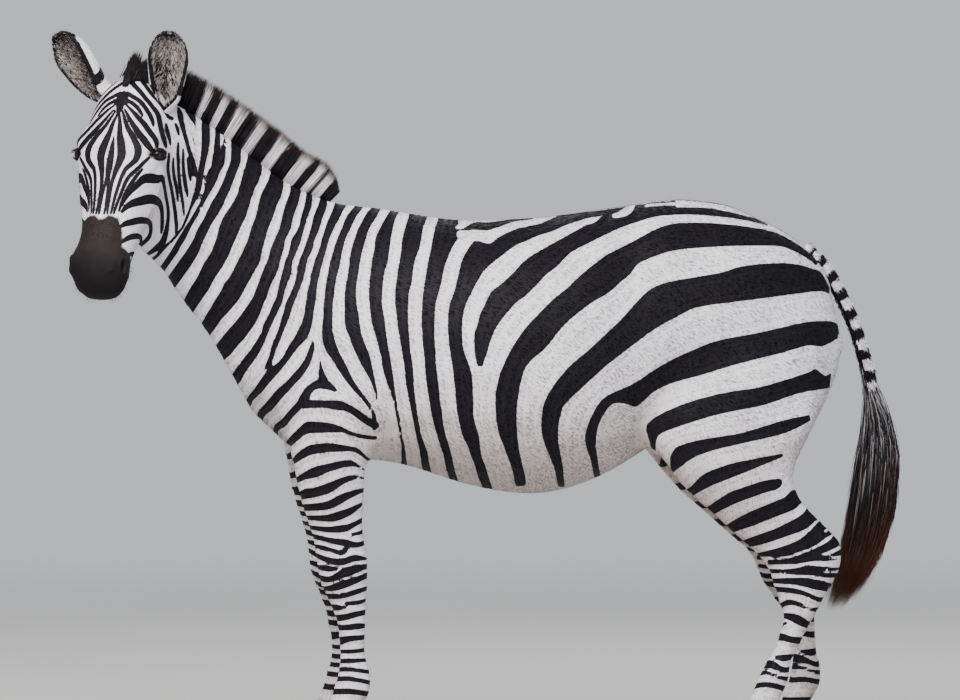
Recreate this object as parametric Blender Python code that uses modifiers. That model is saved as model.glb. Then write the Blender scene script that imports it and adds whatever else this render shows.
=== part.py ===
"""A life-size plains zebra, standing with its head turned to its left.

Metres, +Z up. The animal faces -X, its left side is -Y and its hooves stand on Z = 0.
The body is made whole from lofted masses, then parted with thin cuts into named nodes.
Run with: blender --background --python part.py
"""

import math

import bmesh
import bpy
import numpy as np
from mathutils import Matrix, Vector

# ---------------------------------------------------------------- driving sizes
GAP = 0.0004  # clearance kept between neighbouring solids
VOXEL = 0.009  # grain of the union of the body's masses
BODY_TRIANGLES = 5400  # the body's faces before it is parted
HEAD_DETAIL = 0.96  # how much more finely the head is divided
LEG_DETAIL = 0.80  # the same for the legs
JOINING_ROUNDS = 170  # smoothing where the masses flow into each other
SOFT_ROUNDS = 14  # smoothing everywhere
SHARP_EDGE = math.radians(50)

HEAD_TURN = math.radians(69.5)  # from straight ahead towards the left side
HEAD_NOD = math.radians(57)  # nose below the horizontal
POLL = Vector((-0.812, -0.160, 1.580))  # top of the skull between the ears
EYE_RADIUS = 0.020
EYE_PLACE = (0.191, 0.087, -0.044)  # along the head, to one side, above the profile line

EAR_LENGTH = 0.172
EAR_THICKNESS = 0.006
EAR_CUPPING = 0.9  # depth of the cup against its width
# share of the length, half width and how far round the leaf is curled, in degrees
EAR = (
    (0.00, 0.023, 165),
    (0.18, 0.027, 152),
    (0.36, 0.034, 132),
    (0.52, 0.041, 114),
    (0.66, 0.0445, 100),
    (0.80, 0.041, 86),
    (0.91, 0.031, 74),
    (0.975, 0.018, 66),
    (1.00, 0.007, 60),
)
# side, base along, aside and above in the head's frame, then tip and opening directions
EAR_STANCES = {
    "ear_left": (1, (0.056, 0.078, -0.066), (0.06, 0.08, 1.00), (0.05, -1.00, 0.00)),
    "ear_right": (-1, (0.030, 0.071, -0.054), (-0.62, -0.05, 0.78), (-0.80, -0.60, 0.00)),
}

MANE_HEIGHT = 0.080
MANE_THICKNESS = 0.030
MANE_FRONT = (-0.004, 0, -0.020)  # where the mane ends between the ears, in the head's frame
MANE_DEPTH = 0.030  # how far the mane reaches below the crest before it is cut to it
DOCK_ROOT, DOCK_END = 0.0240, 0.0157  # radius of the tail's fleshy part
EYE_CLEARANCE = 0.0012  # between the eyeball and its socket

# ---------------------------------------------------------------- named outlines
# x, top, bottom, half width, height of the widest point, upper and lower roundness
TRUNK = (
    (-0.545, 1.000, 0.825, 0.065, 0.92, 2.0, 2.0),
    (-0.495, 1.080, 0.765, 0.135, 0.94, 2.0, 2.2),
    (-0.420, 1.190, 0.712, 0.180, 0.96, 1.9, 2.2),
    (-0.340, 1.280, 0.695, 0.205, 0.97, 1.7, 2.2),
    (-0.260, 1.284, 0.693, 0.224, 0.96, 1.6, 2.2),
    (-0.160, 1.262, 0.676, 0.246, 0.95, 1.8, 2.1),
    (-0.060, 1.247, 0.643, 0.268, 0.94, 2.0, 2.1),
    (0.040, 1.246, 0.620, 0.284, 0.93, 2.1, 2.1),
    (0.140, 1.252, 0.614, 0.288, 0.93, 2.1, 2.1),
    (0.240, 1.264, 0.638, 0.278, 0.94, 2.1, 2.1),
    (0.330, 1.278, 0.682, 0.255, 0.96, 2.0, 2.1),
    (0.410, 1.289, 0.735, 0.238, 1.00, 2.0, 2.0),
    (0.490, 1.293, 0.790, 0.226, 1.02, 2.0, 2.0),
    (0.570, 1.280, 0.810, 0.215, 1.02, 2.0, 2.0),
    (0.650, 1.246, 0.830, 0.190, 1.01, 2.0, 2.0),
    (0.720, 1.206, 0.860, 0.157, 1.00, 2.0, 2.0),
    (0.775, 1.160, 0.900, 0.110, 1.00, 2.0, 2.0),
    (0.812, 1.100, 0.950, 0.060, 1.01, 2.0, 2.0),
)
# crest x and z, throat x and z, y, half width, heading in degrees
NECK = (
    (-0.240, 1.215, -0.345, 0.745, 0.000, 0.175, 0),
    (-0.320, 1.280, -0.498, 0.768, 0.000, 0.165, 0),
    (-0.388, 1.316, -0.574, 0.880, -0.001, 0.142, 2),
    (-0.450, 1.343, -0.625, 0.978, -0.004, 0.120, 5),
    (-0.510, 1.387, -0.672, 1.043, -0.011, 0.106, 9),
    (-0.570, 1.430, -0.710, 1.097, -0.024, 0.097, 15),
    (-0.630, 1.473, -0.746, 1.146, -0.044, 0.094, 24),
    (-0.695, 1.515, -0.784, 1.178, -0.075, 0.093, 36),
    (-0.760, 1.548, -0.814, 1.228, -0.120, 0.088, 50),
)
# along the head, top, bottom, half width, height of the widest point, roundness above, below
HEAD = (
    (-0.019, -0.050, -0.110, 0.030, -0.080, 2.0, 2.0),
    (0.000, -0.012, -0.170, 0.060, -0.070, 2.0, 2.0),
    (0.030, 0.006, -0.215, 0.076, -0.068, 2.1, 2.2),
    (0.070, 0.015, -0.245, 0.086, -0.064, 2.2, 2.4),
    (0.110, 0.019, -0.256, 0.088, -0.058, 2.3, 2.4),
    (0.150, 0.020, -0.254, 0.099, -0.050, 2.4, 2.2),
    (0.190, 0.018, -0.243, 0.103, -0.046, 2.4, 2.1),
    (0.230, 0.013, -0.225, 0.099, -0.054, 2.3, 2.1),
    (0.271, 0.008, -0.214, 0.090, -0.066, 2.2, 2.1),
    (0.311, 0.004, -0.198, 0.079, -0.074, 2.2, 2.1),
    (0.351, 0.001, -0.190, 0.068, -0.078, 2.2, 2.1),
    (0.391, 0.000, -0.174, 0.060, -0.072, 2.2, 2.1),
    (0.431, -0.001, -0.156, 0.061, -0.062, 2.2, 2.0),
    (0.467, -0.004, -0.141, 0.065, -0.056, 2.2, 2.0),
    (0.500, -0.012, -0.132, 0.065, -0.062, 2.1, 2.1),
    (0.527, -0.028, -0.120, 0.053, -0.070, 2.0, 2.2),
    (0.543, -0.052, -0.108, 0.034, -0.080, 2.0, 2.0),
)
# height, front, back, y of the middle, half width
FORELEG = (
    (0.980, -0.450, -0.270, 0.120, 0.055),
    (0.900, -0.475, -0.240, 0.126, 0.068),
    (0.830, -0.468, -0.240, 0.130, 0.075),
    (0.770, -0.456, -0.256, 0.128, 0.072),
    (0.710, -0.446, -0.264, 0.122, 0.066),
    (0.650, -0.434, -0.268, 0.116, 0.059),
    (0.600, -0.420, -0.272, 0.111, 0.052),
    (0.555, -0.405, -0.275, 0.107, 0.046),
    (0.515, -0.393, -0.270, 0.104, 0.044),
    (0.475, -0.387, -0.264, 0.102, 0.047),
    (0.435, -0.382, -0.264, 0.100, 0.047),
    (0.400, -0.368, -0.266, 0.099, 0.041),
    (0.360, -0.349, -0.267, 0.098, 0.033),
    (0.310, -0.336, -0.268, 0.097, 0.029),
    (0.260, -0.331, -0.268, 0.096, 0.028),
    (0.225, -0.333, -0.262, 0.096, 0.031),
    (0.190, -0.342, -0.254, 0.096, 0.037),
    (0.155, -0.353, -0.266, 0.096, 0.034),
    (0.120, -0.370, -0.290, 0.096, 0.031),
    (0.085, -0.392, -0.304, 0.096, 0.037),
    (0.050, -0.412, -0.316, 0.096, 0.042),
    (0.020, -0.424, -0.322, 0.096, 0.042),
)
HINDLEG = (
    (1.120, 0.560, 0.770, 0.078, 0.050),
    (1.050, 0.480, 0.812, 0.092, 0.080),
    (0.980, 0.430, 0.834, 0.104, 0.098),
    (0.910, 0.395, 0.826, 0.116, 0.106),
    (0.850, 0.372, 0.804, 0.127, 0.104),
    (0.790, 0.360, 0.772, 0.137, 0.097),
    (0.740, 0.368, 0.742, 0.140, 0.088),
    (0.690, 0.402, 0.716, 0.140, 0.078),
    (0.640, 0.446, 0.712, 0.137, 0.066),
    (0.600, 0.488, 0.734, 0.133, 0.056),
    (0.560, 0.532, 0.772, 0.129, 0.048),
    (0.525, 0.570, 0.806, 0.125, 0.042),
    (0.495, 0.604, 0.826, 0.122, 0.040),
    (0.465, 0.636, 0.826, 0.119, 0.040),
    (0.435, 0.652, 0.814, 0.117, 0.040),
    (0.405, 0.662, 0.800, 0.115, 0.038),
    (0.370, 0.686, 0.791, 0.113, 0.034),
    (0.330, 0.712, 0.787, 0.112, 0.029),
    (0.280, 0.726, 0.786, 0.111, 0.027),
    (0.230, 0.728, 0.787, 0.110, 0.029),
    (0.190, 0.720, 0.796, 0.110, 0.036),
    (0.155, 0.709, 0.786, 0.110, 0.034),
    (0.120, 0.692, 0.768, 0.110, 0.031),
    (0.085, 0.672, 0.754, 0.110, 0.037),
    (0.050, 0.654, 0.744, 0.110, 0.041),
    (0.020, 0.644, 0.738, 0.110, 0.041),
)
# How each leg is set: side, forward step at the hoof, height where the step starts and ends
LEG_STANCES = {
    "foreleg_left": (FORELEG, -1, 0.000, 0.75, 0.18),
    "foreleg_right": (FORELEG, 1, 0.008, 0.75, 0.18),
    "hindleg_left": (HINDLEG, -1, 0.098, 0.42, 0.16),
    "hindleg_right": (HINDLEG, 1, -0.010, 0.42, 0.16),
}
# height, front and back ahead of the leg at the coronet, half width
HOOF = (
    (0.000, -0.036, -0.012, 0.044),
    (0.012, -0.030, -0.010, 0.045),
    (0.034, -0.015, -0.004, 0.043),
    (0.056, 0.000, 0.002, 0.040),
)
BUTTOCK_TUCK = 0.035  # how far the back of the thigh lies nearer the middle
CORONET = 0.056  # mean height of the hoof's upper rim
CORONET_TILT = 0.13  # rise of the rim towards the toe, per metre of hoof

TAIL_DOCK = (
    (0.760, 1.160),
    (0.790, 1.133),
    (0.820, 1.092),
    (0.846, 1.042),
    (0.868, 0.990),
    (0.885, 0.935),
    (0.899, 0.880),
    (0.904, 0.858),
)
# height, front, back, half thickness across
TAIL_TUFT = (
    (0.857, 0.884, 0.926, 0.017),
    (0.820, 0.885, 0.940, 0.024),
    (0.770, 0.882, 0.958, 0.032),
    (0.700, 0.870, 0.970, 0.039),
    (0.620, 0.858, 0.966, 0.041),
    (0.550, 0.848, 0.957, 0.039),
    (0.490, 0.838, 0.936, 0.033),
    (0.430, 0.822, 0.908, 0.025),
    (0.375, 0.804, 0.878, 0.017),
    (0.335, 0.794, 0.826, 0.008),
)

# Soft swellings that give the body its muscles: centre, reach along x, y and z, height.
# Each is made on both sides.
MUSCLES = (
    ((-0.420, 0.190, 0.900), (0.080, 0.10, 0.10), 0.008),  # point of the shoulder
    ((-0.190, 0.230, 0.900), (0.050, 0.10, 0.15), -0.008),  # hollow behind the shoulder
    ((-0.300, 0.200, 0.840), (0.060, 0.08, 0.06), 0.007),  # triceps above the elbow
    ((-0.370, 0.170, 0.650), (0.050, 0.06, 0.09), 0.005),  # forearm
    ((0.405, 0.220, 1.195), (0.055, 0.08, 0.045), 0.010),  # point of the hip
    ((0.330, 0.250, 1.060), (0.060, 0.09, 0.12), -0.008),  # hollow of the flank
    ((0.640, 0.220, 0.930), (0.120, 0.10, 0.14), 0.008),  # thigh
    ((0.440, 0.210, 0.790), (0.060, 0.08, 0.06), 0.008),  # stifle
    ((0.590, 0.180, 0.650), (0.080, 0.06, 0.05), 0.004),  # gaskin
)
# The same on the head, in its own frame: along, aside, above.
HEAD_FORMS = (
    ((0.177, 0.098, -0.020), (0.034, 0.030, 0.022), 0.006),  # brow over the eye
    ((0.188, 0.100, -0.078), (0.034, 0.030, 0.016), 0.003),  # cheekbone under the eye
    ((0.126, 0.080, 0.004), (0.034, 0.030, 0.030), -0.005),  # hollow of the temple
    ((0.256, 0.085, -0.030), (0.045, 0.040, 0.028), -0.006),  # hollow before the eye
    ((0.281, 0.080, -0.090), (0.075, 0.040, 0.014), 0.005),  # crest of the cheek
    ((0.115, 0.085, -0.165), (0.075, 0.050, 0.070), 0.008),  # jowl
    ((0.342, 0.060, -0.130), (0.060, 0.040, 0.025), -0.004),  # hollow of the lower cheek
    ((0.479, 0.064, -0.036), (0.026, 0.030, 0.022), 0.007),  # rim of the nostril
    ((0.471, 0.000, -0.145), (0.030, 0.040, 0.025), 0.005),  # chin
)
# Where the masses flow into each other, softened most: centre and reach
JOININGS = (
    ((-0.350, 0.190, 0.900), (0.17, 0.14, 0.15)),
    ((-0.330, 0.000, 0.690), (0.14, 0.16, 0.07)),
    ((-0.360, 0.000, 1.220), (0.15, 0.30, 0.16)),
    ((-0.480, 0.000, 0.850), (0.12, 0.30, 0.14)),
    ((0.600, 0.190, 1.030), (0.24, 0.12, 0.19)),
    ((0.400, 0.180, 0.780), (0.10, 0.14, 0.12)),
    ((0.620, 0.000, 0.830), (0.24, 0.10, 0.10)),
    ((-0.740, -0.110, 1.360), (0.09, 0.14, 0.18)),
)

# The cuts that part the body. A leg's cut is an outline of x and z near the middle plane
# and one outside the flank; everything below it and between them is the leg.
LEG_CUTS = {
    "foreleg": (
        ((-0.57, -0.10), (-0.57, 0.660), (-0.36, 0.700), (-0.20, 0.655), (-0.20, -0.10)),
        ((-0.60, -0.10), (-0.60, 0.800), (-0.37, 0.960), (-0.19, 0.820), (-0.19, -0.10)),
    ),
    "hindleg": (
        ((0.31, -0.10), (0.31, 0.600), (0.40, 0.740), (0.65, 0.800), (0.96, 0.840), (0.96, -0.10)),
        ((0.31, -0.10), (0.31, 0.640), (0.36, 0.860), (0.60, 1.120), (0.96, 1.200), (0.96, -0.10)),
    ),
}
LEG_CUT_SIDES = (0.004, 0.400)
NECK_CUT = (Vector((-0.345, 0, 1.300)), Vector((-0.505, 0, 0.760)))  # crest and breast
# Behind the ears and below the jowl, and the cut's heading from straight ahead
HEAD_CUT = (Vector((-0.742, -0.110, 1.560)), Vector((-0.705, -0.055, 1.200)))
HEAD_CUT_HEADING = math.radians(40)

COLOURS = {
    "coat": (0.78, 0.77, 0.75, 0.85),
    "mane": (0.10, 0.09, 0.09, 0.8),
    "hair": (0.05, 0.035, 0.03, 0.6),
    "horn": (0.06, 0.055, 0.05, 0.45),
    "eye": (0.02, 0.012, 0.01, 0.08),
}


# ---------------------------------------------------------------- tools
def clear_scene():
    for obj in list(bpy.data.objects):
        bpy.data.objects.remove(obj, do_unlink=True)


def material(name):
    """A plain material of one of the named colours: red, green, blue and roughness."""
    found = bpy.data.materials.get(name)
    if found:
        return found
    red, green, blue, roughness = COLOURS[name]
    made = bpy.data.materials.new(name)
    made.use_nodes = True
    shader = made.node_tree.nodes["Principled BSDF"]
    shader.inputs["Base Color"].default_value = (red, green, blue, 1)
    shader.inputs["Roughness"].default_value = roughness
    return made


def add_object(name, mesh, group, finish=None):
    made = bpy.data.objects.new(name, mesh)
    group.objects.link(made)
    if finish:
        mesh.materials.clear()
        mesh.materials.append(material(finish))
    return made


def along(rows, count):
    """Rows of named sizes read at more places, on a smooth curve through them."""
    rows = np.array(rows, float)
    padded = np.vstack([2 * rows[0] - rows[1], rows, 2 * rows[-1] - rows[-2]])
    places = np.linspace(0, len(rows) - 1, count)
    index = np.minimum(places.astype(int), len(rows) - 2)
    t = (places - index)[:, None]
    p0, p1, p2, p3 = (padded[index + k] for k in range(4))
    return 0.5 * (
        2 * p1
        + (p2 - p0) * t
        + (2 * p0 - 5 * p1 + 4 * p2 - p3) * t**2
        + (3 * p1 - p0 - 3 * p2 + p3) * t**3
    )


def round_section(sides, across, up, down, power_up=2.0, power_down=2.0):
    """A closed section: half width, height above and depth below its widest line."""
    angle = 2 * np.pi * np.arange(sides) / sides
    power = np.where(np.sin(angle) >= 0, power_up, power_down)
    side = np.sign(np.cos(angle)) * np.abs(np.cos(angle)) ** (2 / power) * across
    rise = np.sign(np.sin(angle)) * np.abs(np.sin(angle)) ** (2 / power)
    return side, rise * np.where(rise >= 0, up, down)


def loft(name, rings, group, folded=False):
    """A closed skin over unlike sections, each an array of points in the same order."""
    shape = bmesh.new()
    loops = [[shape.verts.new(p) for p in ring] for ring in rings]
    for first, second in zip(loops, loops[1:]):
        for i in range(len(first)):
            j = (i + 1) % len(first)
            shape.faces.new((first[i], first[j], second[j], second[i]))
    shape.faces.new(list(reversed(loops[0])))
    shape.faces.new(loops[-1])
    if folded:
        bmesh.ops.triangulate(shape, faces=shape.faces, quad_method="FIXED")
    bmesh.ops.recalc_face_normals(shape, faces=shape.faces)
    mesh = bpy.data.meshes.new(name)
    shape.to_mesh(mesh)
    shape.free()
    return add_object(name, mesh, group)


def evaluated_copy(obj, name, group, finish=None):
    """The object with its modifiers applied, as a new mesh object."""
    graph = bpy.context.evaluated_depsgraph_get()
    mesh = bpy.data.meshes.new_from_object(obj.evaluated_get(graph))
    mesh.transform(obj.matrix_world)
    mesh.name = name
    return add_object(name, mesh, group, finish)


def hide(obj):
    obj.hide_render = True
    obj.display_type = "WIRE"


def smoothstep(low, high, value):
    t = np.clip((value - low) / (high - low), 0, 1)
    return t * t * (3 - 2 * t)


# ---------------------------------------------------------------- the masses of the body
def trunk_rings(count=60, sides=36):
    for x, top, bottom, half, widest, up, down in along(TRUNK, count):
        side, rise = round_section(sides, half, top - widest, widest - bottom, up, down)
        yield np.column_stack([np.full(sides, x), side, widest + rise])


def neck_rings(count=40, sides=32):
    for crest_x, crest_z, throat_x, throat_z, y, half, heading in along(NECK, count):
        crest, throat = np.array((crest_x, y, crest_z)), np.array((throat_x, y, throat_z))
        turn = math.radians(heading)
        lateral = np.array((math.sin(turn), -math.cos(turn), 0))
        middle, reach = (crest + throat) / 2, (crest - throat) / 2
        side, rise = round_section(sides, half, 1, 1, 1.8, 1.9)
        yield middle + np.outer(side, lateral) + np.outer(rise, reach)


def head_matrix():
    """The head's own frame: X from the poll to the nose, Y to its left, Z out of its face."""
    nod, turn = HEAD_NOD, HEAD_TURN
    nose = Vector(
        (-math.cos(nod) * math.cos(turn), -math.cos(nod) * math.sin(turn), -math.sin(nod))
    )
    left = Vector((math.sin(turn), -math.cos(turn), 0))
    face = nose.cross(left)
    frame = Matrix((nose, left, face)).transposed().to_4x4()
    return Matrix.Translation(POLL) @ frame


def in_world(matrix, points):
    turned = np.array(matrix.to_3x3())
    return points @ turned.T + np.array(matrix.translation)


def head_rings(count=64, sides=36):
    matrix = head_matrix()
    for s, top, bottom, half, widest, up, down in along(HEAD, count):
        side, rise = round_section(sides, half, top - widest, widest - bottom, up, down)
        local = np.column_stack([np.full(sides, s), side, widest + rise])
        yield in_world(matrix, local)


def step_at(stance, height):
    """How far forward a leg is set at this height."""
    _, _, step, start, end = stance
    return step * float(smoothstep(0, 1, (start - height) / (start - end)))


def leg_sections(name, count=72):
    """Height, front, back, middle and half width down a leg in its stance."""
    rows, side = LEG_STANCES[name][:2]
    for height, front, back, y, half in along(rows, count):
        shift = step_at(LEG_STANCES[name], height)
        yield height, front - shift, back - shift, side * y, half


def leg_rings(name, sides=24):
    """Round sections; those of the thigh draw in towards the tail."""
    side = LEG_STANCES[name][1]
    for height, front, back, y, half in leg_sections(name):
        upper = float(smoothstep(0.75, 0.90, height))
        power = 2.2 - 0.5 * upper
        across, fore = round_section(sides, half, 1, 1, power, power)
        x = (front + back) / 2 - fore * (back - front) / 2
        inward = BUTTOCK_TUCK * upper * np.clip(-fore, 0, 1) ** 2 * (x > 0)
        yield np.column_stack([x, y + across - side * inward, np.full(sides, height)])


def read_points(mesh):
    count = len(mesh.vertices)
    points, normals = np.empty(count * 3), np.empty(count * 3)
    mesh.vertices.foreach_get("co", points)
    mesh.vertices.foreach_get("normal", normals)
    return points.reshape(-1, 3), normals.reshape(-1, 3)


def nearness(points, centre, reach):
    """One at the centre, fading to nothing beyond the reach."""
    away = (points - np.array(centre)) / np.array(reach)
    return np.exp(-(away**2).sum(1))


def raise_forms(mesh):
    """Swells the muscles of the body and the forms of the head, on both sides."""
    points, normals = read_points(mesh)
    head = in_world(head_matrix().inverted(), points)
    for places, forms in ((points, MUSCLES), (head, HEAD_FORMS)):
        for centre, reach, height in forms:
            for side in (-1, 1) if centre[1] else (1,):
                share = nearness(places, (centre[0], side * centre[1], centre[2]), reach)
                points = points + normals * (share * height)[:, None]
    mesh.vertices.foreach_set("co", points.ravel())
    mesh.update()


def smooth_where(obj, name, weights, rounds):
    """Smooths the surface by a weight given at every vertex."""
    group = obj.vertex_groups.new(name=name)
    for index, weight in enumerate(weights):
        group.add([index], float(weight), "REPLACE")
    smooth = obj.modifiers.new(name, "SMOOTH")
    smooth.factor = 0.5
    smooth.iterations = rounds
    smooth.vertex_group = name


def soften(obj):
    """Rounds the creases between the masses: most where they flow into each other."""
    points, _ = read_points(obj.data)
    frame = head_matrix().inverted()
    head = in_world(frame, points)
    off_head = 1 - smoothstep(-0.04, 0.05, head[:, 0])
    off_head = np.maximum(off_head, smoothstep(0.16, 0.30, np.abs(head[:, 1])))
    off_legs = smoothstep(0.50, 0.80, points[:, 2])
    joined = np.zeros(len(points))
    for centre, reach in JOININGS:
        for side in (-1, 1):
            placed = (centre[0], side * centre[1], centre[2]) if centre[0] > -0.7 else centre
            joined = np.maximum(joined, nearness(points, placed, reach))
    smooth_where(obj, "Joinings", np.clip(1.3 * joined, 0, 1) * off_legs, JOINING_ROUNDS)
    least = 0.05
    soft = least + (1 - least) * off_legs * (0.1 + 0.9 * off_head)
    smooth_where(obj, "Soft", soft, SOFT_ROUNDS)


def whole_body(guides):
    """The flesh as one closed mesh: trunk, neck, head and four legs grown together."""
    masses = [
        loft("mass_trunk", trunk_rings(), guides),
        loft("mass_neck", neck_rings(), guides),
        loft("mass_head", head_rings(), guides),
    ]
    masses += [loft("mass_" + name, leg_rings(name), guides) for name in LEG_STANCES]
    shape = bmesh.new()
    for mass in masses:
        shape.from_mesh(mass.data)
    mesh = bpy.data.meshes.new("whole")
    shape.to_mesh(mesh)
    shape.free()
    whole = add_object("whole", mesh, guides)
    grain = whole.modifiers.new("Grain", "REMESH")
    grain.mode = "VOXEL"
    grain.voxel_size = VOXEL
    merged = evaluated_copy(whole, "merged", guides)
    soften(merged)
    softened = evaluated_copy(merged, "softened", guides)
    raise_forms(softened.data)
    points, _ = read_points(softened.data)
    along_head = in_world(head_matrix().inverted(), points)[:, 0]
    keep = softened.vertex_groups.new(name="keep")
    in_head = smoothstep(-0.10, 0.02, along_head) * smoothstep(0.95, 1.05, points[:, 2])
    in_leg = 1 - smoothstep(0.62, 0.80, points[:, 2])
    for index, weight in enumerate(1 - np.maximum(HEAD_DETAIL * in_head, LEG_DETAIL * in_leg)):
        keep.add([index], float(weight), "REPLACE")
    fewer = softened.modifiers.new("Fewer", "DECIMATE")
    fewer.ratio = BODY_TRIANGLES / (2 * len(softened.data.polygons))
    fewer.use_collapse_triangulate = True
    fewer.vertex_group = "keep"
    return evaluated_copy(softened, "body", guides)


# ---------------------------------------------------------------- parting the body
def cut_off(obj, name, point, normal, group, finish):
    """The part of a closed mesh that lies behind a plane, closed again where it was cut."""
    shape = bmesh.new()
    shape.from_mesh(obj.data)
    everything = shape.edges[:] + shape.faces[:] + shape.verts[:]
    bmesh.ops.bisect_plane(
        shape, geom=everything, dist=1e-7, plane_co=point, plane_no=normal, clear_outer=True
    )
    rim = [edge for edge in shape.edges if edge.is_boundary]
    bmesh.ops.triangle_fill(shape, edges=rim, use_beauty=True)
    bmesh.ops.recalc_face_normals(shape, faces=shape.faces)
    mesh = bpy.data.meshes.new(name)
    shape.to_mesh(mesh)
    shape.free()
    return add_object(name, mesh, group, finish)


def part_at(obj, names, point, normal, groups):
    """Both sides of a plane as two objects, a gap apart."""
    step = normal.normalized() * GAP / 2
    behind = cut_off(obj, names[0], point - step, normal, groups[0], "coat")
    ahead = cut_off(obj, names[1], point + step, -normal, groups[1], "coat")
    return behind, ahead


def boolean_copy(obj, other, operation, name, group, finish=None):
    modifier = obj.modifiers.new(operation.title(), "BOOLEAN")
    modifier.operation = operation
    modifier.solver = "EXACT"
    modifier.object = other
    result = evaluated_copy(obj, name, group, finish)
    obj.modifiers.remove(modifier)
    return result


def swollen(obj, guides, amount=GAP):
    """A copy that is larger by the gap all over, to cut its neighbours with."""
    grow = obj.modifiers.new("Grow", "DISPLACE")
    grow.strength = amount
    grow.mid_level = 0
    copy = evaluated_copy(obj, obj.name + "_swollen", guides)
    obj.modifiers.remove(grow)
    return copy


def leg_cutter(name, side, inset, guides):
    """The space of a leg, between its two outlines, drawn in all round by the inset."""
    rings = []
    for outline, y in zip(LEG_CUTS[name.split("_")[0]], LEG_CUT_SIDES):
        middle = sum(x for x, _ in outline) / len(outline)
        rings.append(
            [
                (x + math.copysign(inset, middle - x), side * (y + inset), z - 1.6 * inset)
                for x, z in outline
            ]
        )
    return loft("space_" + name, rings, guides, folded=True)


def part_body(body, zebra, guides):
    """Head, neck, trunk and legs as nodes of their own, a gap apart."""
    crest, breast = NECK_CUT
    forward = (crest - breast).cross(Vector((0, 1, 0)))
    rear, front = part_at(body, ("rear", "front"), crest, forward, (guides, guides))
    poll, throat = HEAD_CUT
    across = Vector((math.sin(HEAD_CUT_HEADING), -math.cos(HEAD_CUT_HEADING), 0))
    facing = (throat - poll).cross(across)
    neck, head = part_at(front, ("neck", "head_whole"), poll, facing, (zebra, guides))
    trunk = rear
    for name, (_, side, *_) in LEG_STANCES.items():
        wide = leg_cutter(name, side, 0, guides)
        narrow = leg_cutter(name, side, GAP, guides)
        leg = boolean_copy(rear, narrow, "INTERSECT", name + "_whole", guides)
        rim = Vector((leg_foot(name)[0], 0, CORONET + GAP))
        cut_off(leg, name, rim, Vector((-CORONET_TILT, 0, -1)), zebra, "coat")
        trunk = boolean_copy(trunk, wide, "DIFFERENCE", "trunk_whole", guides)
    add_object("trunk", trunk.data.copy(), zebra, "coat")
    return head


# ---------------------------------------------------------------- hooves
def leg_foot(name):
    """Middle x and y, front, back and half width of the leg at the coronet."""
    sections = np.array(list(leg_sections(name)))
    height, front, back, y, half = sections[np.argmin(np.abs(sections[:, 0] - CORONET))]
    return (front + back) / 2, y, front, back, half


def hoof(name, group, sides=18):
    """A horn shoe under the leg, rounded in front and squarer at the heels."""
    middle, y, front, back, _ = leg_foot(name)
    rings = []
    for height, toe, heel, half in HOOF:
        across, fore = round_section(sides, half, 1, 1, 2.2, 3.0)
        x = (front + toe + back + heel) / 2 - fore * (back + heel - front - toe) / 2
        tilt = (middle - x) * CORONET_TILT * height / CORONET
        rings.append(np.column_stack([x, y + across, height + tilt]))
    return loft("hoof_" + name, rings, group)


# ---------------------------------------------------------------- ears, eyes and hair
def unit(direction):
    return Vector(direction).normalized()


def ear_frame(name):
    """X across the opening, Y out of the opening and Z from the base to the tip."""
    side, base, tip, opening = EAR_STANCES[name]
    origin = head_matrix() @ Vector((base[0], side * base[1], base[2]))
    up = unit(tip)
    out = Vector(opening)
    out = (out - up * out.dot(up)).normalized()
    frame = Matrix((up.cross(-out), out, up)).transposed().to_4x4()
    return Matrix.Translation(origin) @ frame


def ear(name, group, rows=10, columns=11):
    """A leaf curled into a cup, closed towards its base, with a wall of gristle."""
    shape = bmesh.new()
    grid = []
    for share, half, curl in along(EAR, rows):
        curl = math.radians(curl)
        radius = half / math.sin(min(curl, math.pi / 2))
        row = []
        for j in range(columns):
            angle = curl * (2 * j / (columns - 1) - 1)
            x, y = radius * math.sin(angle), -radius * math.cos(angle)
            row.append(shape.verts.new((x, EAR_CUPPING * y, EAR_LENGTH * share)))
        grid.append(row)
    for low, high in zip(grid, grid[1:]):
        for j in range(columns - 1):
            shape.faces.new((low[j], low[j + 1], high[j + 1], high[j]))
    mesh = bpy.data.meshes.new(name)
    shape.to_mesh(mesh)
    shape.free()
    mesh.transform(ear_frame(name))
    made = add_object(name + "_shell", mesh, group)
    wall = made.modifiers.new("Wall", "SOLIDIFY")
    wall.thickness = EAR_THICKNESS
    wall.offset = 0
    return made


def eye(name, side, group, finish=None, extra=0.0):
    """A round eyeball on one side of the head; larger by the extra to cut its socket."""
    shape = bmesh.new()
    bmesh.ops.create_icosphere(shape, subdivisions=2, radius=EYE_RADIUS + extra)
    mesh = bpy.data.meshes.new(name)
    shape.to_mesh(mesh)
    shape.free()
    place = Vector((EYE_PLACE[0], side * EYE_PLACE[1], EYE_PLACE[2]))
    mesh.transform(Matrix.Translation(head_matrix() @ place))
    return add_object(name, mesh, group, finish)


def crest_rows(count=15):
    """Points along the crest of the neck, and how its mane stands and faces at each."""
    rows = along(NECK, 60)
    start = int(np.argmax(rows[:, 0] < -0.345))
    picked = rows[np.linspace(start, len(rows) - 2, count).astype(int)]
    points = np.column_stack([picked[:, 0], picked[:, 4], picked[:, 1]])
    points = np.vstack([points, np.array(head_matrix() @ Vector(MANE_FRONT))])
    run = np.gradient(points, axis=0)
    across = np.cross(run, (0, 0, 1))
    across /= np.linalg.norm(across, axis=1)[:, None]
    stand = np.cross(across, run)
    return points, stand / np.linalg.norm(stand, axis=1)[:, None], across


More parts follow.
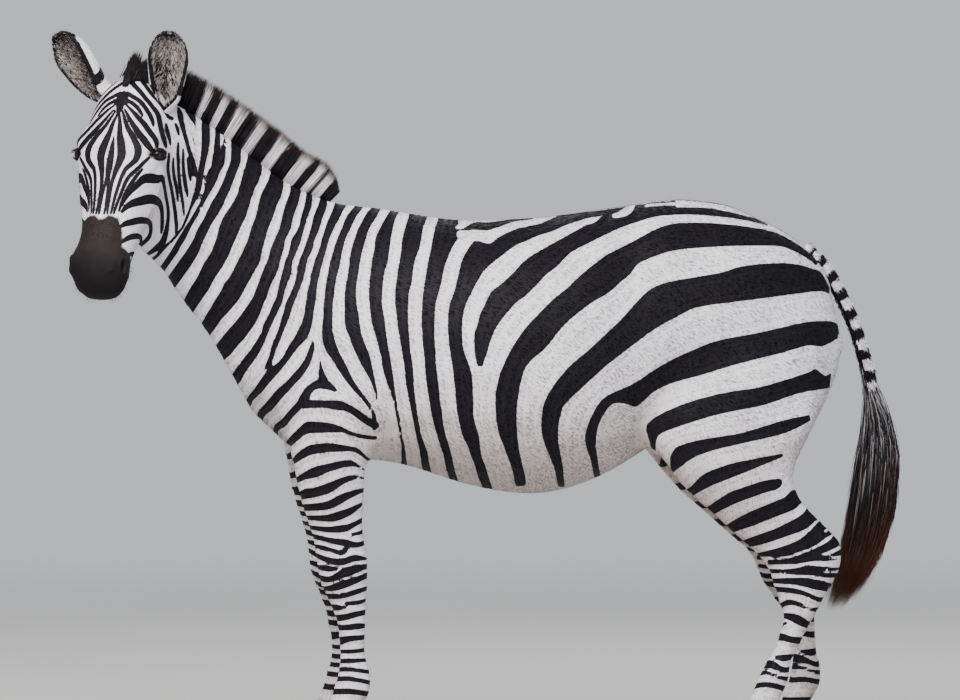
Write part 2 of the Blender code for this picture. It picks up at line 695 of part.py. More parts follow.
def mane(group, sides=10):
    """An upright brush of hair along the crest, from the withers to the poll."""
    points, stand, across = crest_rows()
    rings = []
    for i, (point, up, aside) in enumerate(zip(points, stand, across)):
        t = i / (len(points) - 1)
        height = MANE_HEIGHT * (0.30 + 0.70 * smoothstep(0, 0.12, t)) * (1 - 0.35 * t**4)
        half = MANE_THICKNESS / 2 * (0.55 + 0.45 * smoothstep(0, 0.2, t))
        side, rise = round_section(sides, 1, 1, 1, 2.6, 2.6)
        taper = 1 - 0.45 * (rise + 1) / 2
        middle = point + up * (height - MANE_DEPTH) / 2
        ring = middle + np.outer(side * taper * half, aside)
        rings.append(ring + np.outer(rise * (height + MANE_DEPTH) / 2, up))
    return loft("mane_whole", rings, group)


def tail_dock(group, sides=12):
    """The tail's fleshy part, hanging from the croup."""
    rows = along(TAIL_DOCK, 14)
    run = np.gradient(rows, axis=0)
    rings = []
    for i, ((x, z), (run_x, run_z)) in enumerate(zip(rows, run)):
        t = i / (len(rows) - 1)
        length = math.hypot(run_x, run_z)
        radius = DOCK_ROOT + (DOCK_END - DOCK_ROOT) * smoothstep(0, 0.5, t)
        side, rise = round_section(sides, radius, radius, radius)
        normal = np.array((-run_z, 0, run_x)) / length
        ring = np.array((x, 0, z)) + np.outer(side, (0, 1, 0)) + np.outer(rise, normal)
        rings.append(ring)
    return loft("tail_dock_whole", rings, group)


def tail_tuft(group, sides=12):
    """The brush of long hair at the tail's end."""
    rings = []
    for z, front, back, half in along(TAIL_TUFT, 15):
        across, fore = round_section(sides, half, 1, 1)
        x = (front + back) / 2 - fore * (back - front) / 2
        rings.append(np.column_stack([x, across, np.full(sides, z)]))
    return loft("tail_tuft_whole", rings, group)


# ---------------------------------------------------------------- the animal
def clear_of(piece, neighbours, name, group, finish):
    """The piece without the space of its neighbours, as a node."""
    guides = bpy.data.collections["guides"]
    for neighbour in neighbours[:-1]:
        piece = boolean_copy(piece, neighbour, "DIFFERENCE", name + "_cut", guides)
    return boolean_copy(piece, neighbours[-1], "DIFFERENCE", name, group, finish)


def stand_over_origin(group):
    """Moves every node so that the middle of the whole box's floor is the origin."""
    corners = np.array([v.co for obj in group.objects for v in obj.data.vertices])
    low, high = corners.min(0), corners.max(0)
    shift = Vector((-(low[0] + high[0]) / 2, -(low[1] + high[1]) / 2, -low[2]))
    for obj in group.objects:
        obj.data.transform(Matrix.Translation(shift))
    return shift


def main():
    clear_scene()
    scene = bpy.context.scene.collection
    zebra = bpy.data.collections.new("zebra")
    guides = bpy.data.collections.new("guides")
    scene.children.link(zebra)
    scene.children.link(guides)

    body = whole_body(guides)
    flesh = swollen(body, guides)
    head = part_body(body, zebra, guides)

    sockets = []
    for name, side in (("eye_left", 1), ("eye_right", -1)):
        eye(name, side, zebra, "eye")
        sockets.append(eye(name + "_socket", side, guides, extra=EYE_CLEARANCE))
    clear_of(head, sockets, "head", zebra, "coat")
    for name in EAR_STANCES:
        clear_of(ear(name, guides), [flesh], name, zebra, "coat")
    ears = [swollen(bpy.data.objects[name], guides) for name in EAR_STANCES]
    clear_of(mane(guides), [flesh] + ears, "mane", zebra, "mane")
    dock = clear_of(tail_dock(guides), [flesh], "tail_dock", zebra, "coat")
    clear_of(tail_tuft(guides), [swollen(dock, guides)], "tail_tuft", zebra, "hair")
    for name in LEG_STANCES:
        made = hoof(name, zebra)
        made.data.materials.append(material("horn"))
    for guide in guides.objects:
        hide(guide)
    for node in zebra.objects:
        node.data.shade_smooth()
        node.data.set_sharp_from_angle(angle=SHARP_EDGE)
    return stand_over_origin(zebra)


if __name__ == "__main__":
    main()
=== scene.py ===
"""The dressed plains zebra: skin with folds and lids, striped coat, mane, tail, eyes and hooves.

Metres, +Z up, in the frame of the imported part: the animal faces -X and its left side is -Y.
"""

import math
from contextlib import contextmanager

import bmesh
import bpy
import numpy as np
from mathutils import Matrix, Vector


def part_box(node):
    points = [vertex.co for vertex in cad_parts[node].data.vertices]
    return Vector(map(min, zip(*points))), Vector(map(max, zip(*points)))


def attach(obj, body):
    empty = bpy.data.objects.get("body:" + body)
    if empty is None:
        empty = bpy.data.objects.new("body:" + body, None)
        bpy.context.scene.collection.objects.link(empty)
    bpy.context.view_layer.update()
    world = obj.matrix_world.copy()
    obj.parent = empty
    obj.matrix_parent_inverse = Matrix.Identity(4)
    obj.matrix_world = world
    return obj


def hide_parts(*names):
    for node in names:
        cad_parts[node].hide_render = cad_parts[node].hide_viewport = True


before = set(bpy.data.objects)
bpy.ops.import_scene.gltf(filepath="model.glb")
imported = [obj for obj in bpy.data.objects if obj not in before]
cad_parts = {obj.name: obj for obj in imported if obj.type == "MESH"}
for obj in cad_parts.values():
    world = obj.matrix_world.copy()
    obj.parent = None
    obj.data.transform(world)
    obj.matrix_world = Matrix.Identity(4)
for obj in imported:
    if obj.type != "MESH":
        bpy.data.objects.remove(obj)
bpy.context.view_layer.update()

# ---------------------------------------------------------------- sizes of the animal
HEAD_TURN = math.radians(69.5)  # from straight ahead towards the left side
HEAD_NOD = math.radians(57)  # nose below the horizontal
POLL = Vector((-0.812, -0.160, 1.580))  # top of the skull between the ears
EYE_RADIUS = 0.020
EYE_PLACE = (0.191, 0.087, -0.044)  # along the head, to one side, above the profile line
EYE_LOOK = (0.33, 0.66, 0.67)  # where the eye faces, in the head's frame
LID_THICKNESS = 0.0016
LID_RIM = 0.0016  # added to it along the opening
EYE_OPENING = (0.0186, 0.0098, 0.0086)  # half length, height above and below the middle
FLESH = (
    "head", "neck", "trunk", "foreleg_left", "foreleg_right", "hindleg_left", "hindleg_right",
)
LEG_STEPS = {  # how far forward a leg is set at the hoof, height where its step starts and ends
    "foreleg_left": (0.000, 0.75, 0.18),
    "foreleg_right": (0.008, 0.75, 0.18),
    "hindleg_left": (0.098, 0.42, 0.16),
    "hindleg_right": (-0.010, 0.42, 0.16),
}
NECK_CREST = (  # x, z and y of the neck's upper line, from the withers to the poll
    (-0.240, 1.215, 0.000), (-0.320, 1.280, 0.000), (-0.388, 1.316, -0.001),
    (-0.450, 1.343, -0.004), (-0.510, 1.387, -0.011), (-0.570, 1.430, -0.024),
    (-0.630, 1.473, -0.044), (-0.695, 1.515, -0.075), (-0.760, 1.548, -0.120),
)
NECK_SLANT = 0.40  # how far the neck's sections lean forward per metre down
HEAD_CUT = (Vector((-0.742, -0.110, 1.560)), Vector((-0.705, -0.055, 1.200)))
HEAD_CUT_HEADING = math.radians(40)
SKIN_GRAIN = 0.0146  # voxel of the first skin
COAT_DEPTH = 0.0030
SWELL = 0.0006  # closes the thin cuts between the solids
STRIPE_REACH = 0.015  # how far from a stripe's edge its distance is kept
MID_LENGTH = 0.10  # x that parts the forelegs from the hindlegs
LEG_TOP = 0.60  # height below which the coat belongs to the legs
NECK_END = -0.36  # x behind which it belongs to the flanks
SKIN_VALUES = ("stripe", "muzzle", "soil", "bare", "ragged")  # kept on the points

# Left side view in which the stripes are laid out: heading, height and distance of the eye
VIEW_TURN = math.radians(-5)
VIEW_RISE = math.radians(2)
VIEW_DISTANCE = 20.0
VIEW_HEIGHT = 0.945
SENSOR, LENS = 36.0, 327.0  # of the camera, in millimetres

# ---------------------------------------------------------------- the stripes
# Centimetres on the upright plane that the animal is seen against from its left side:
# across towards the tail, and up. A steep band lists its height, front and rear edge.
STEEP_BANDS = (
    # neck, from behind the ear to the withers
    ((150, -67.1, -65.6), (148, -67.0, -65.2), (145, -66.5, -65.1), (142.5, -66.2, -65.2),
     (140, -66.2, -65.2), (137, -65.8, -65.0), (134, -65.6, -64.2), (131, -65.4, -64.2),
     (128, -66.4, -65.5), (125, -67.9, -67.2), (122.5, -69.2, -68.4), (119, -71.6, -70.6)),
    ((149, -64.0, -63.2), (147.5, -63.9, -62.4), (145, -63.9, -61.9), (142.5, -63.9, -61.9),
     (140, -64.0, -62.3), (138, -64.2, -62.7), (136, -64.8, -63.2), (133, -65.3, -63.6),
     (131, -65.3, -64.0), (129, -65.8, -64.8)),
    ((147.5, -61.2, -59.1), (145, -60.8, -58.9), (142.5, -60.9, -58.3), (140, -61.2, -58.3),
     (138.4, -61.5, -58.5), (137, -61.6, -58.7), (135, -62.7, -59.7), (133, -62.9, -60.5),
     (131.7, -63.2, -61.2), (130, -63.7, -62.2), (127.7, -64.7, -63.4), (125, -66.2, -64.9),
     (122.3, -67.9, -66.4), (120, -69.3, -67.5), (118.3, -70.3, -68.6), (116.6, -71.3, -69.5),
     (114, -73.5, -71.5)),
    ((145, -57.7, -56.4), (142.5, -57.2, -54.8), (140, -57.1, -54.8), (138.4, -57.2, -54.8),
     (137, -57.5, -55.0), (135, -58.3, -55.9), (133, -59.1, -56.6), (131.7, -59.7, -57.1),
     (130, -60.6, -57.9), (127.7, -62.0, -58.9), (125, -63.2, -60.5), (122.3, -64.8, -62.1),
     (120, -65.7, -63.2), (118.3, -66.7, -63.9), (116.6, -67.8, -64.6), (115, -69.0, -65.5),
     (113.3, -70.2, -66.6), (111.6, -71.6, -68.0), (108, -75.0, -71.0)),
    ((141, -53.6, -52.4), (139.5, -53.3, -51.5), (138.4, -53.4, -50.1), (137, -53.8, -50.0),
     (135, -54.4, -50.1), (133, -54.9, -50.8), (131.7, -55.3, -51.5), (130, -55.8, -52.1),
     (127.7, -57.1, -52.9), (125, -58.9, -53.7), (122.3, -60.0, -55.0), (120, -60.5, -56.0),
     (118.3, -61.2, -56.8), (116.6, -61.8, -57.4), (115, -63.0, -58.2), (113.3, -63.9, -59.2),
     (111.6, -64.7, -60.4), (110, -65.6, -61.3), (108.2, -66.3, -62.3), (106.5, -67.0, -63.5),
     (105, -67.5, -64.4), (103, -68.5, -65.1), (100, -70.0, -66.5)),
    ((136.5, -48.1, -46.5), (135, -48.1, -45.0), (133, -48.8, -45.0), (131.7, -49.5, -45.1),
     (130, -50.3, -45.5), (127.7, -50.9, -46.5), (125, -51.5, -47.4), (122.3, -52.6, -48.5),
     (120, -53.2, -49.2), (118.3, -53.9, -49.7), (116.6, -54.7, -50.1), (115, -55.6, -50.3),
     (113.3, -56.4, -51.2), (111.6, -57.3, -52.2), (110, -58.5, -53.0), (108.2, -59.4, -54.1),
     (106.5, -60.5, -55.0), (105, -61.4, -56.1), (103.1, -62.2, -57.7), (101.7, -62.8, -59.1),
     (100, -63.3, -60.4), (98, -64.5, -61.5), (95, -66.0, -63.0)),
    ((133.5, -43.2, -42.4), (131.7, -43.5, -41.1), (130, -43.8, -41.2), (127.7, -44.7, -41.8),
     (125, -45.4, -42.8), (122.3, -46.1, -43.4), (120, -47.1, -44.6), (118.3, -47.8, -44.8),
     (116.6, -48.4, -45.3), (115, -48.8, -45.8), (113.3, -49.6, -46.2), (111.6, -50.2, -46.8),
     (110, -50.8, -47.7), (108.2, -51.5, -48.4), (106.5, -52.2, -48.9), (105, -53.2, -49.6),
     (103.1, -54.5, -50.3), (101.7, -55.6, -50.9), (100, -57.0, -51.9), (98.6, -58.5, -52.9),
     (97.2, -59.6, -53.9), (95.8, -60.3, -55.4), (94.4, -61.0, -57.4), (92.5, -62.0, -59.5)),
    ((131, -40.0, -38.3), (130, -39.9, -38.4), (127.7, -40.3, -38.5), (125, -41.1, -39.5),
     (122.3, -41.8, -40.3), (120, -43.2, -40.9), (118.3, -43.6, -41.5), (116.6, -44.0, -42.2),
     (115, -44.7, -42.9), (113.3, -45.1, -43.1), (111.6, -45.6, -43.4), (110, -46.0, -44.0),
     (108.2, -46.4, -44.7), (106.5, -46.8, -45.1), (105, -47.5, -45.5), (103.1, -48.3, -46.4),
     (101.7, -49.0, -47.1), (100, -49.9, -47.9), (98.6, -50.1, -48.5), (97.2, -51.0, -49.0),
     (95.8, -51.8, -49.6), (94.4, -52.8, -50.3), (93, -54.1, -51.1), (91.5, -55.1, -52.3),
     (90, -56.0, -53.1), (88.4, -56.8, -54.2), (86, -58.0, -55.5), (84, -59.0, -57.5)),
    ((131, -36.5, -35.0), (130, -36.4, -35.2), (127.7, -37.2, -35.0), (125, -38.2, -36.0),
     (122.3, -38.9, -36.8), (120, -39.6, -37.8), (118.3, -40.2, -38.2), (116.6, -40.8, -38.8),
     (115, -41.5, -39.5), (111.6, -42.2, -40.3), (110, -42.5, -40.7), (108.2, -43.2, -41.4),
     (106.5, -44.0, -42.1), (105, -44.7, -42.7), (103.1, -45.1, -43.4), (101.7, -45.6, -43.8),
     (100, -46.0, -44.5), (97.2, -47.1, -45.6), (95.8, -47.7, -46.2), (94.4, -48.1, -46.8),
     (93, -48.4, -47.2), (91.5, -49.1, -47.7), (90, -49.6, -47.0)),
    ((130, -32.5, -30.3), (128, -33.4, -30.5), (126.2, -34.0, -31.5), (124, -35.0, -32.6),
     (122.3, -35.6, -33.5), (120, -36.3, -34.5), (118.3, -36.7, -35.0), (116.6, -37.3, -35.4),
     (115, -38.0, -36.0), (113.3, -38.4, -36.4), (111.6, -38.9, -36.8), (110, -39.1, -37.2),
     (108.2, -39.5, -37.4), (106.5, -39.8, -37.6), (105, -40.1, -37.8), (103.1, -40.3, -38.1),
     (101.7, -40.6, -38.3), (100, -41.3, -38.6), (98.6, -42.0, -39.0), (97.2, -42.7, -39.7),
     (95.8, -43.7, -41.0), (94.4, -44.5, -42.2), (93, -45.2, -43.2), (91.5, -46.5, -44.4),
     (90, -48.7, -45.5), (88.2, -50.0, -47.1), (87, -51.0, -48.4), (85.8, -51.8, -50.0),
     (84.6, -52.5, -50.8), (83.4, -52.8, -51.4), (82, -53.2, -52.4)),
    # shoulder and barrel
    ((129.5, -27.8, -26.0), (128, -28.3, -26.5), (126.2, -29.9, -27.5), (125, -30.7, -28.4),
     (122.3, -31.8, -29.7), (120, -32.8, -30.8), (117.7, -33.5, -31.4), (115, -34.3, -31.9),
     (112.6, -34.8, -32.4), (110, -35.3, -33.1), (107.4, -35.6, -33.4), (105, -35.9, -33.7),
     (102.6, -36.0, -33.8), (100, -36.2, -33.8), (98.6, -36.3, -33.7), (97.2, -36.2, -33.4),
     (95.8, -36.0, -32.9), (94.4, -35.4, -32.4), (93, -34.5, -31.8), (91.5, -33.5, -30.9),
     (90, -32.6, -30.2), (88.2, -31.4, -29.3), (87, -30.5, -28.6), (85, -28.8, -27.3),
     (83.4, -27.3, -26.0), (81.4, -25.8, -24.7), (80, -24.9, -23.9), (78, -24.7, -23.7),
     (76, -24.7, -24.0)),
    ((128.5, -23.9, -21.8), (127.3, -24.7, -22.5), (126.2, -25.8, -23.1), (125, -26.6, -23.7),
     (122.3, -28.0, -25.4), (120, -28.8, -26.1), (117.7, -29.5, -26.8), (115, -30.0, -27.4),
     (112.6, -30.2, -27.8), (110, -30.7, -28.2), (107.4, -31.1, -28.4), (105, -31.1, -28.2),
     (102.6, -31.1, -27.8), (100, -30.9, -27.5), (97.7, -30.1, -27.0), (95, -29.1, -26.0),
     (92.9, -28.2, -25.2), (90, -26.6, -24.6), (87.7, -25.3, -24.1), (85, -24.3, -23.5),
     (83, -23.9, -23.5)),
    ((128, -20.2, -18.0), (126.5, -20.6, -18.3), (125, -21.6, -19.2), (122.3, -23.1, -20.0),
     (120, -24.0, -20.4), (117.7, -24.3, -20.7), (115, -24.8, -21.1), (112.6, -25.1, -21.8),
     (110, -25.4, -22.2), (107.4, -25.5, -22.4), (105, -25.4, -22.4), (102.6, -25.1, -22.0),
     (100, -24.7, -21.7), (97.7, -23.9, -21.4), (95, -23.3, -21.0), (92.9, -22.7, -20.6),
     (90, -22.3, -20.1), (87.7, -21.6, -19.8), (85, -20.6, -19.4), (82.6, -19.9, -19.1),
     (80, -19.4, -18.6), (77.5, -18.9, -18.1), (75, -18.5, -17.8), (72.4, -18.1, -17.2),
     (70, -18.1, -16.7), (68.5, -18.8, -16.6), (66.5, -18.8, -17.2)),
    ((127, -16.0, -12.0), (125.3, -16.3, -12.0), (124, -16.8, -12.4), (122.3, -17.2, -13.1),
     (120, -17.9, -13.4), (117.7, -18.1, -13.9), (115, -18.5, -14.9), (112.6, -18.9, -15.3),
     (110, -19.2, -15.6), (107.4, -19.5, -16.3), (105, -19.5, -16.4), (102.6, -19.2, -16.5),
     (100, -18.9, -16.4), (97.7, -18.5, -16.2), (95, -18.1, -16.0), (92.9, -17.7, -15.7),
     (90, -17.3, -15.3), (87.7, -17.1, -15.2), (85, -16.7, -15.0), (82.6, -16.2, -14.7),
     (80, -15.7, -14.3), (77.5, -15.2, -13.9), (75, -14.7, -13.4), (72.4, -14.1, -12.5),
     (70, -13.4, -11.6), (67.2, -12.8, -10.9), (65, -12.6, -10.8), (63, -11.8, -11.0)),
    ((126.5, -9.4, -5.2), (124.6, -9.6, -5.0), (122.3, -10.4, -4.8), (121.3, -10.6, -4.5),
     (120, -10.9, -5.1), (118.7, -11.1, -5.9), (117.7, -11.3, -6.5), (115, -11.9, -7.6),
     (112.6, -12.3, -8.3), (110, -12.7, -8.8), (107.4, -13.1, -9.5), (105, -13.3, -10.1),
     (102.6, -13.4, -10.3), (100, -13.4, -10.4), (97.7, -13.3, -10.4), (95, -13.0, -10.2),
     (92.9, -12.8, -10.1), (90, -12.6, -9.9), (87.7, -12.4, -9.6), (85, -12.0, -9.3),
     (82.6, -11.6, -9.1), (80, -11.2, -8.7), (77.5, -10.6, -8.4), (75, -9.9, -7.9),
     (72.4, -9.1, -7.0), (70, -8.2, -6.4), (67.2, -7.1, -5.3), (65, -6.6, -4.7),
     (62.5, -6.2, -4.6), (61, -5.8, -5.0)),
    # on the shoulder, between the leg and the neck
    ((96.5, -38.6, -38.0), (95, -39.2, -37.9), (93.1, -39.9, -38.3), (91.5, -40.8, -38.9),
     (90, -42.0, -39.7), (88.2, -43.6, -40.9), (87, -44.8, -42.1), (85.8, -46.3, -43.2),
     (84.6, -47.7, -44.3), (83.4, -48.8, -45.6), (82.2, -49.6, -47.3), (80.9, -50.0, -48.2),
     (79, -50.3, -48.8), (77.3, -50.3, -49.0), (75, -50.2, -49.2), (72, -50.4, -49.7)),
)
# A slanting or lying band lists the points of its upper or front edge, then those of its
# lower or rear edge, both from the front or the belly backwards.
LYING_BANDS = (
    # flank, rump and left hindleg
    (((0.5, 62), (0.6, 65), (-0.6, 67.2), (-2.0, 70), (-2.8, 72.4), (-4.1, 75), (-4.7, 77.5),
      (-5.2, 80), (-5.5, 82.6), (-5.7, 85), (-6.0, 87.7), (-6.2, 90), (-6.7, 92.9), (-7.0, 95),
      (-7.3, 98), (-7.4, 100), (-7.3, 102.6), (-7.0, 105), (-6.1, 107.4), (-5.4, 110),
      (-4.8, 112.6), (-4.2, 115), (-2.9, 117.5), (-1.9, 119.0), (-0.9, 119.6), (0.5, 119.4),
      (1.9, 118.9), (2.8, 119.4), (3.8, 120.2), (6.7, 121.6), (10.3, 123.1), (13.3, 123.4),
      (16.4, 124.8), (20, 125.8), (25.6, 126.8), (30, 127.6), (36, 128.8), (45, 129.4)),
     ((2.6, 62), (2.7, 65), (1.6, 67.2), (0.4, 70), (0.1, 72.4), (-0.3, 75), (-1.1, 77.5),
      (-1.5, 80), (-1.5, 82.6), (-1.6, 85), (-1.7, 87.7), (-2.1, 90), (-3.2, 92.9), (-3.8, 95),
      (-4.1, 98), (-4.1, 100), (-3.8, 102.6), (-3.2, 105), (-2.0, 107.4), (-0.7, 110),
      (0.9, 112.6), (3.1, 114.6), (5.0, 116.1), (6.7, 117.4), (8.5, 118.7), (10.3, 119.3),
      (13.3, 120.7), (16.4, 121.6), (20, 123.2), (24.4, 124.6), (28.2, 125.3), (32, 126.0),
      (38, 126.4), (45, 126.6))),
    (((-0.6, 90.7), (-1.1, 92.9), (-1.3, 95), (-1.4, 98), (-0.7, 100), (0.0, 102.8),
      (1.2, 105.1), (2.6, 107.9), (5, 109.8), (7.7, 112.3), (10.3, 115.1), (13.3, 117.1),
      (16.4, 118.8), (20, 120.8), (24.4, 123.2), (26.2, 123.7), (28.2, 125.3), (33, 126.8),
      (40, 127.2), (50, 127.2), (60, 126.2), (66, 124.0)),
     ((0.6, 90.7), (1.3, 92.9), (2.0, 95), (3.0, 98), (4.1, 100.2), (6.2, 103), (8.8, 105.8),
      (10.3, 106.7), (13.3, 109.7), (15, 111.6), (17.9, 113.8), (20.5, 116.6), (24.4, 118.7),
      (28.2, 120.6), (32.1, 122.4), (37.4, 124.3), (42, 125.3), (50, 125.5), (60, 124.4),
      (66, 123.0))),
    (((8.2, 65), (6.3, 70), (5.4, 72.4), (4.4, 75), (3.9, 77.5), (3.6, 80), (3.5, 82.6),
      (3.6, 85), (4.2, 87.7), (4.9, 90), (6.2, 92.9), (7.7, 95.6), (9.5, 98.4), (11.5, 100.8),
      (14.1, 103.5), (16.7, 106.1), (20, 108.8), (23.1, 111.7), (26.9, 114.8), (30, 116.9),
      (35.1, 119.4), (40, 122.1), (45, 123.6), (55, 123.5), (65, 122.2), (70, 120.5),
      (75, 117.2), (78, 114.8)),
     ((10.6, 65), (9.3, 70), (8.6, 75), (8.4, 80), (8.8, 84), (9.6, 88), (10.8, 91), (12.8, 93),
      (15.4, 95.3), (18.5, 99.2), (21.3, 102), (25.6, 105.3), (29.5, 107.6), (32.1, 109.9),
      (34.6, 112), (36.4, 114.3), (40, 115.9), (45, 117.4), (55, 118.2), (65, 118.4),
      (70, 118), (75, 115.5), (77, 113.9))),
    (((18, 65), (16, 70), (14.2, 75), (14.2, 80), (15.6, 84.5), (20, 90.3), (25, 94.6),
      (30, 99.3), (32.8, 102), (36.4, 106.1), (40, 109), (45, 110.5), (55, 112.2), (60, 113.7),
      (70, 114.5), (77.5, 112.8), (79, 111), (80.3, 108.6)),
     ((19.4, 65), (18.6, 70), (17.9, 75), (18.6, 80), (20, 82.5), (25, 87.3), (30, 91.7),
      (35, 95.5), (40, 99.2), (45, 102), (50, 104.3), (60, 105.7), (70, 107), (78, 108),
      (80, 107.2))),
    (((27.3, 65), (25.5, 69), (24.2, 73), (24.4, 76.3), (27, 82), (30, 84.5), (35, 86.7),
      (40, 90), (45, 92.8), (50, 95), (55, 96.8), (65, 98.7), (75, 101), (81, 101), (82.4, 99.8)),
     ((28.6, 65), (27.2, 69), (26.6, 73), (27.3, 77.5), (30, 81.9), (33, 82.2), (36, 81.5),
      (40, 85), (45, 87.2), (50, 88.5), (60, 91.5), (70, 94), (75, 95.5), (78.5, 95.3),
      (82.2, 97.2))),
    (((40.4, 68.5), (39.2, 73), (38.3, 77.5), (45, 81.5), (55, 84.5), (65, 86.2), (75, 89.3),
      (77, 90.2), (79, 88.6), (80.6, 89.3)),
     ((40.8, 68.5), (40.4, 71), (40.8, 74.7), (45, 76.7), (55, 79.8), (65, 81.8), (73, 84.5),
      (80.2, 85.8))),
    (((43.6, 70), (45, 72.2), (50, 73.8), (60, 75.5), (70, 78.5), (75.6, 79.6)),
     ((43.8, 66), (50, 70.3), (60, 73), (70, 75.4), (75.8, 78.3))),
    (((46.4, 61.8), (48.7, 63.4), (51, 65.8), (55, 67.6), (60, 69), (69.5, 70.8)),
     ((47.8, 60.6), (52.2, 63), (57.3, 65.1), (62, 66.9), (69.5, 70))),
    (((51, 57.6), (53, 59), (57.1, 61.7), (60, 62.8), (65.2, 64.5), (68.9, 64.9), (69.3, 64.1)),
     ((52.6, 56.3), (57.1, 58.7), (60, 59.9), (65.2, 61.8), (67.8, 62.5), (69.2, 63.3))),
    (((55.6, 53.7), (60, 56.4), (65.2, 58.7), (70, 60.7), (71.3, 62.2), (73, 62.2), (74, 61.2)),
     ((57, 52.4), (62.5, 54.2), (67.8, 56.3), (71.9, 57.9), (73, 58.9), (74.2, 60))),
    (((60, 50.6), (62.5, 51.6), (67.8, 53.5), (72.4, 55.8), (74.3, 57.1), (75.3, 58.4),
      (77.2, 56.8)),
     ((61.2, 49.3), (65.2, 50.1), (70, 51.7), (74.3, 53.3), (76.2, 54.7), (77.4, 56))),
    (((63, 47.7), (67.8, 48.9), (72.4, 50.5), (75, 52.3), (77, 54.4), (78.3, 55.6), (79.3, 54.8),
      (82, 53.4)),
     ((64, 47.2), (70, 47.2), (72.4, 48), (75, 48.9), (77, 49.8), (79.7, 51.7), (82.2, 53.1))),
    (((66, 46.3), (70, 46.5), (75, 48.1), (79.7, 50.4), (81.4, 52), (83.4, 52)),
     ((66, 45.3), (72.4, 45.5), (77, 46.2), (79.7, 46.1), (83.4, 46.8))),
    (((66.4, 44.2), (71, 44.2), (75, 44.9), (79.5, 44.7), (83.2, 44.5)),
     ((66.4, 43.4), (73.2, 43), (77, 42.8), (79.7, 42.3), (83.2, 42.6))),
    (((66.6, 42), (72.4, 42.2), (77, 41.8), (81.5, 40.6)),
     ((66.6, 41.1), (72.4, 40.7), (77, 39.6), (81.5, 38.9))),
    (((67.5, 40.2), (72, 39.8), (75, 38.9), (77.9, 37.7), (80.5, 38.1)),
     ((67.5, 39.2), (73.6, 38.4), (76.5, 37.2), (77.9, 36.8), (80.5, 37.2))),
    (((68.2, 35.9), (70, 37), (71.3, 37.2), (74, 36.3), (75, 35.4), (79.5, 35.5)),
     ((68.2, 35), (71.3, 36.1), (74, 35.3), (77, 34.5), (79.5, 34.3))),
    (((67.6, 33.2), (70, 34.1), (73.2, 33.6), (76.1, 31.9), (79, 32.3)),
     ((67.6, 32.4), (70, 33), (73.2, 31.4), (76.3, 30.5), (79, 31))),
    (((66, 29.2), (68.6, 31.2), (70.2, 32.2)), ((66, 28.6), (68.9, 30.7), (70.4, 31.7))),
    (((67, 28.4), (68.9, 29.5), (71.3, 28.8), (74, 28.5), (76.6, 28)),
     ((67, 27.9), (69.6, 27.8), (72.6, 27.2), (76.6, 27.4))),
    (((64.4, 25.4), (66.2, 26.7), (68, 27)), ((64.4, 24.9), (66.8, 26.1), (68, 26.5))),
    (((67.4, 24.3), (70, 24.6), (75, 24.8)),
     ((67.6, 23.8), (69.6, 23.1), (72.5, 23.9), (75, 24.4))),
    (((63, 21.9), (65.3, 23.1), (67.1, 23.2), (70, 21.6), (73.4, 22.7)),
     ((63, 21.5), (67.1, 21.5), (70, 20.5), (73.4, 21.9))),
    (((62.4, 20.1), (65, 21), (68.6, 19.8), (72, 19.4)),
     ((62.4, 19.3), (65.7, 20.1), (69.3, 18.8), (72, 18.6))),
    (((62, 17.6), (66, 18.3), (72, 16.8)), ((62, 16.6), (66, 17.2), (72, 15.6))),
    # left foreleg
    (((-44.4, 73), (-42.5, 76.3), (-41, 77.5), (-39.5, 78.1), (-36.5, 78), (-34, 77.7),
      (-31.5, 76.8), (-28.5, 75.5), (-25, 74.9), (-23.5, 74.8)),
     ((-44.4, 71.8), (-41, 74.6), (-39.5, 75.3), (-34, 75.5), (-31.5, 75.5), (-28.5, 74.4),
      (-25, 74), (-23.5, 74))),
    (((-43.6, 68.6), (-42, 70.8), (-40.5, 71.9), (-39, 72.7), (-35, 73.2), (-30, 72.5),
      (-26.5, 71.9), (-24, 71)),
     ((-43.6, 67.6), (-40.5, 69.6), (-37, 70.8), (-30, 71.2), (-26.5, 71), (-24, 70))),
    (((-43, 64.6), (-40, 66.7), (-37.5, 67.8), (-35, 68.4), (-32.5, 69), (-30, 69.3),
      (-27.5, 68.7), (-25, 66.6)),
     ((-43, 63.5), (-40, 64.8), (-37.5, 65.3), (-35, 66.4), (-32.5, 67.2), (-30, 67.7),
      (-27.3, 67.8), (-25, 65.9))),
    (((-42.5, 61.3), (-40, 62.7), (-38.3, 62.8), (-35, 63.9), (-31.4, 65.3), (-29, 65.8),
      (-25.5, 65.2)),
     ((-42.5, 60.2), (-40, 60.4), (-35, 61.5), (-31.4, 63.7), (-28, 65), (-25.5, 64.6))),
    (((-41.8, 58.9), (-40, 59.1), (-37.5, 59.3), (-35, 59.8), (-31.8, 61.4), (-28.7, 62.4),
      (-26, 62.9)),
     ((-41.8, 58), (-40, 57.7), (-35, 57.9), (-31.8, 59.3), (-30, 60.4), (-26, 62.3))),
    (((-40.4, 56.5), (-37.5, 56.5), (-35, 56.7), (-31, 57.9), (-27, 59.5)),
     ((-40.4, 55.7), (-37.5, 55.4), (-33.7, 55.2), (-30, 56.5), (-27, 58.8))),
    (((-39.6, 54.3), (-35, 53.9), (-32.5, 54.2), (-30, 54.6), (-26.4, 56.3)),
     ((-39.6, 53.6), (-35, 52.7), (-31, 52.8), (-28.7, 54), (-26.4, 55.4))),
    (((-29.8, 52.3), (-27.3, 53.1), (-25.6, 54)), ((-29.6, 51.7), (-27.2, 52.3), (-25.6, 53.5))),
    (((-39.4, 52.6), (-35, 51.5), (-31, 51), (-28, 50.4), (-25.2, 51.2)),
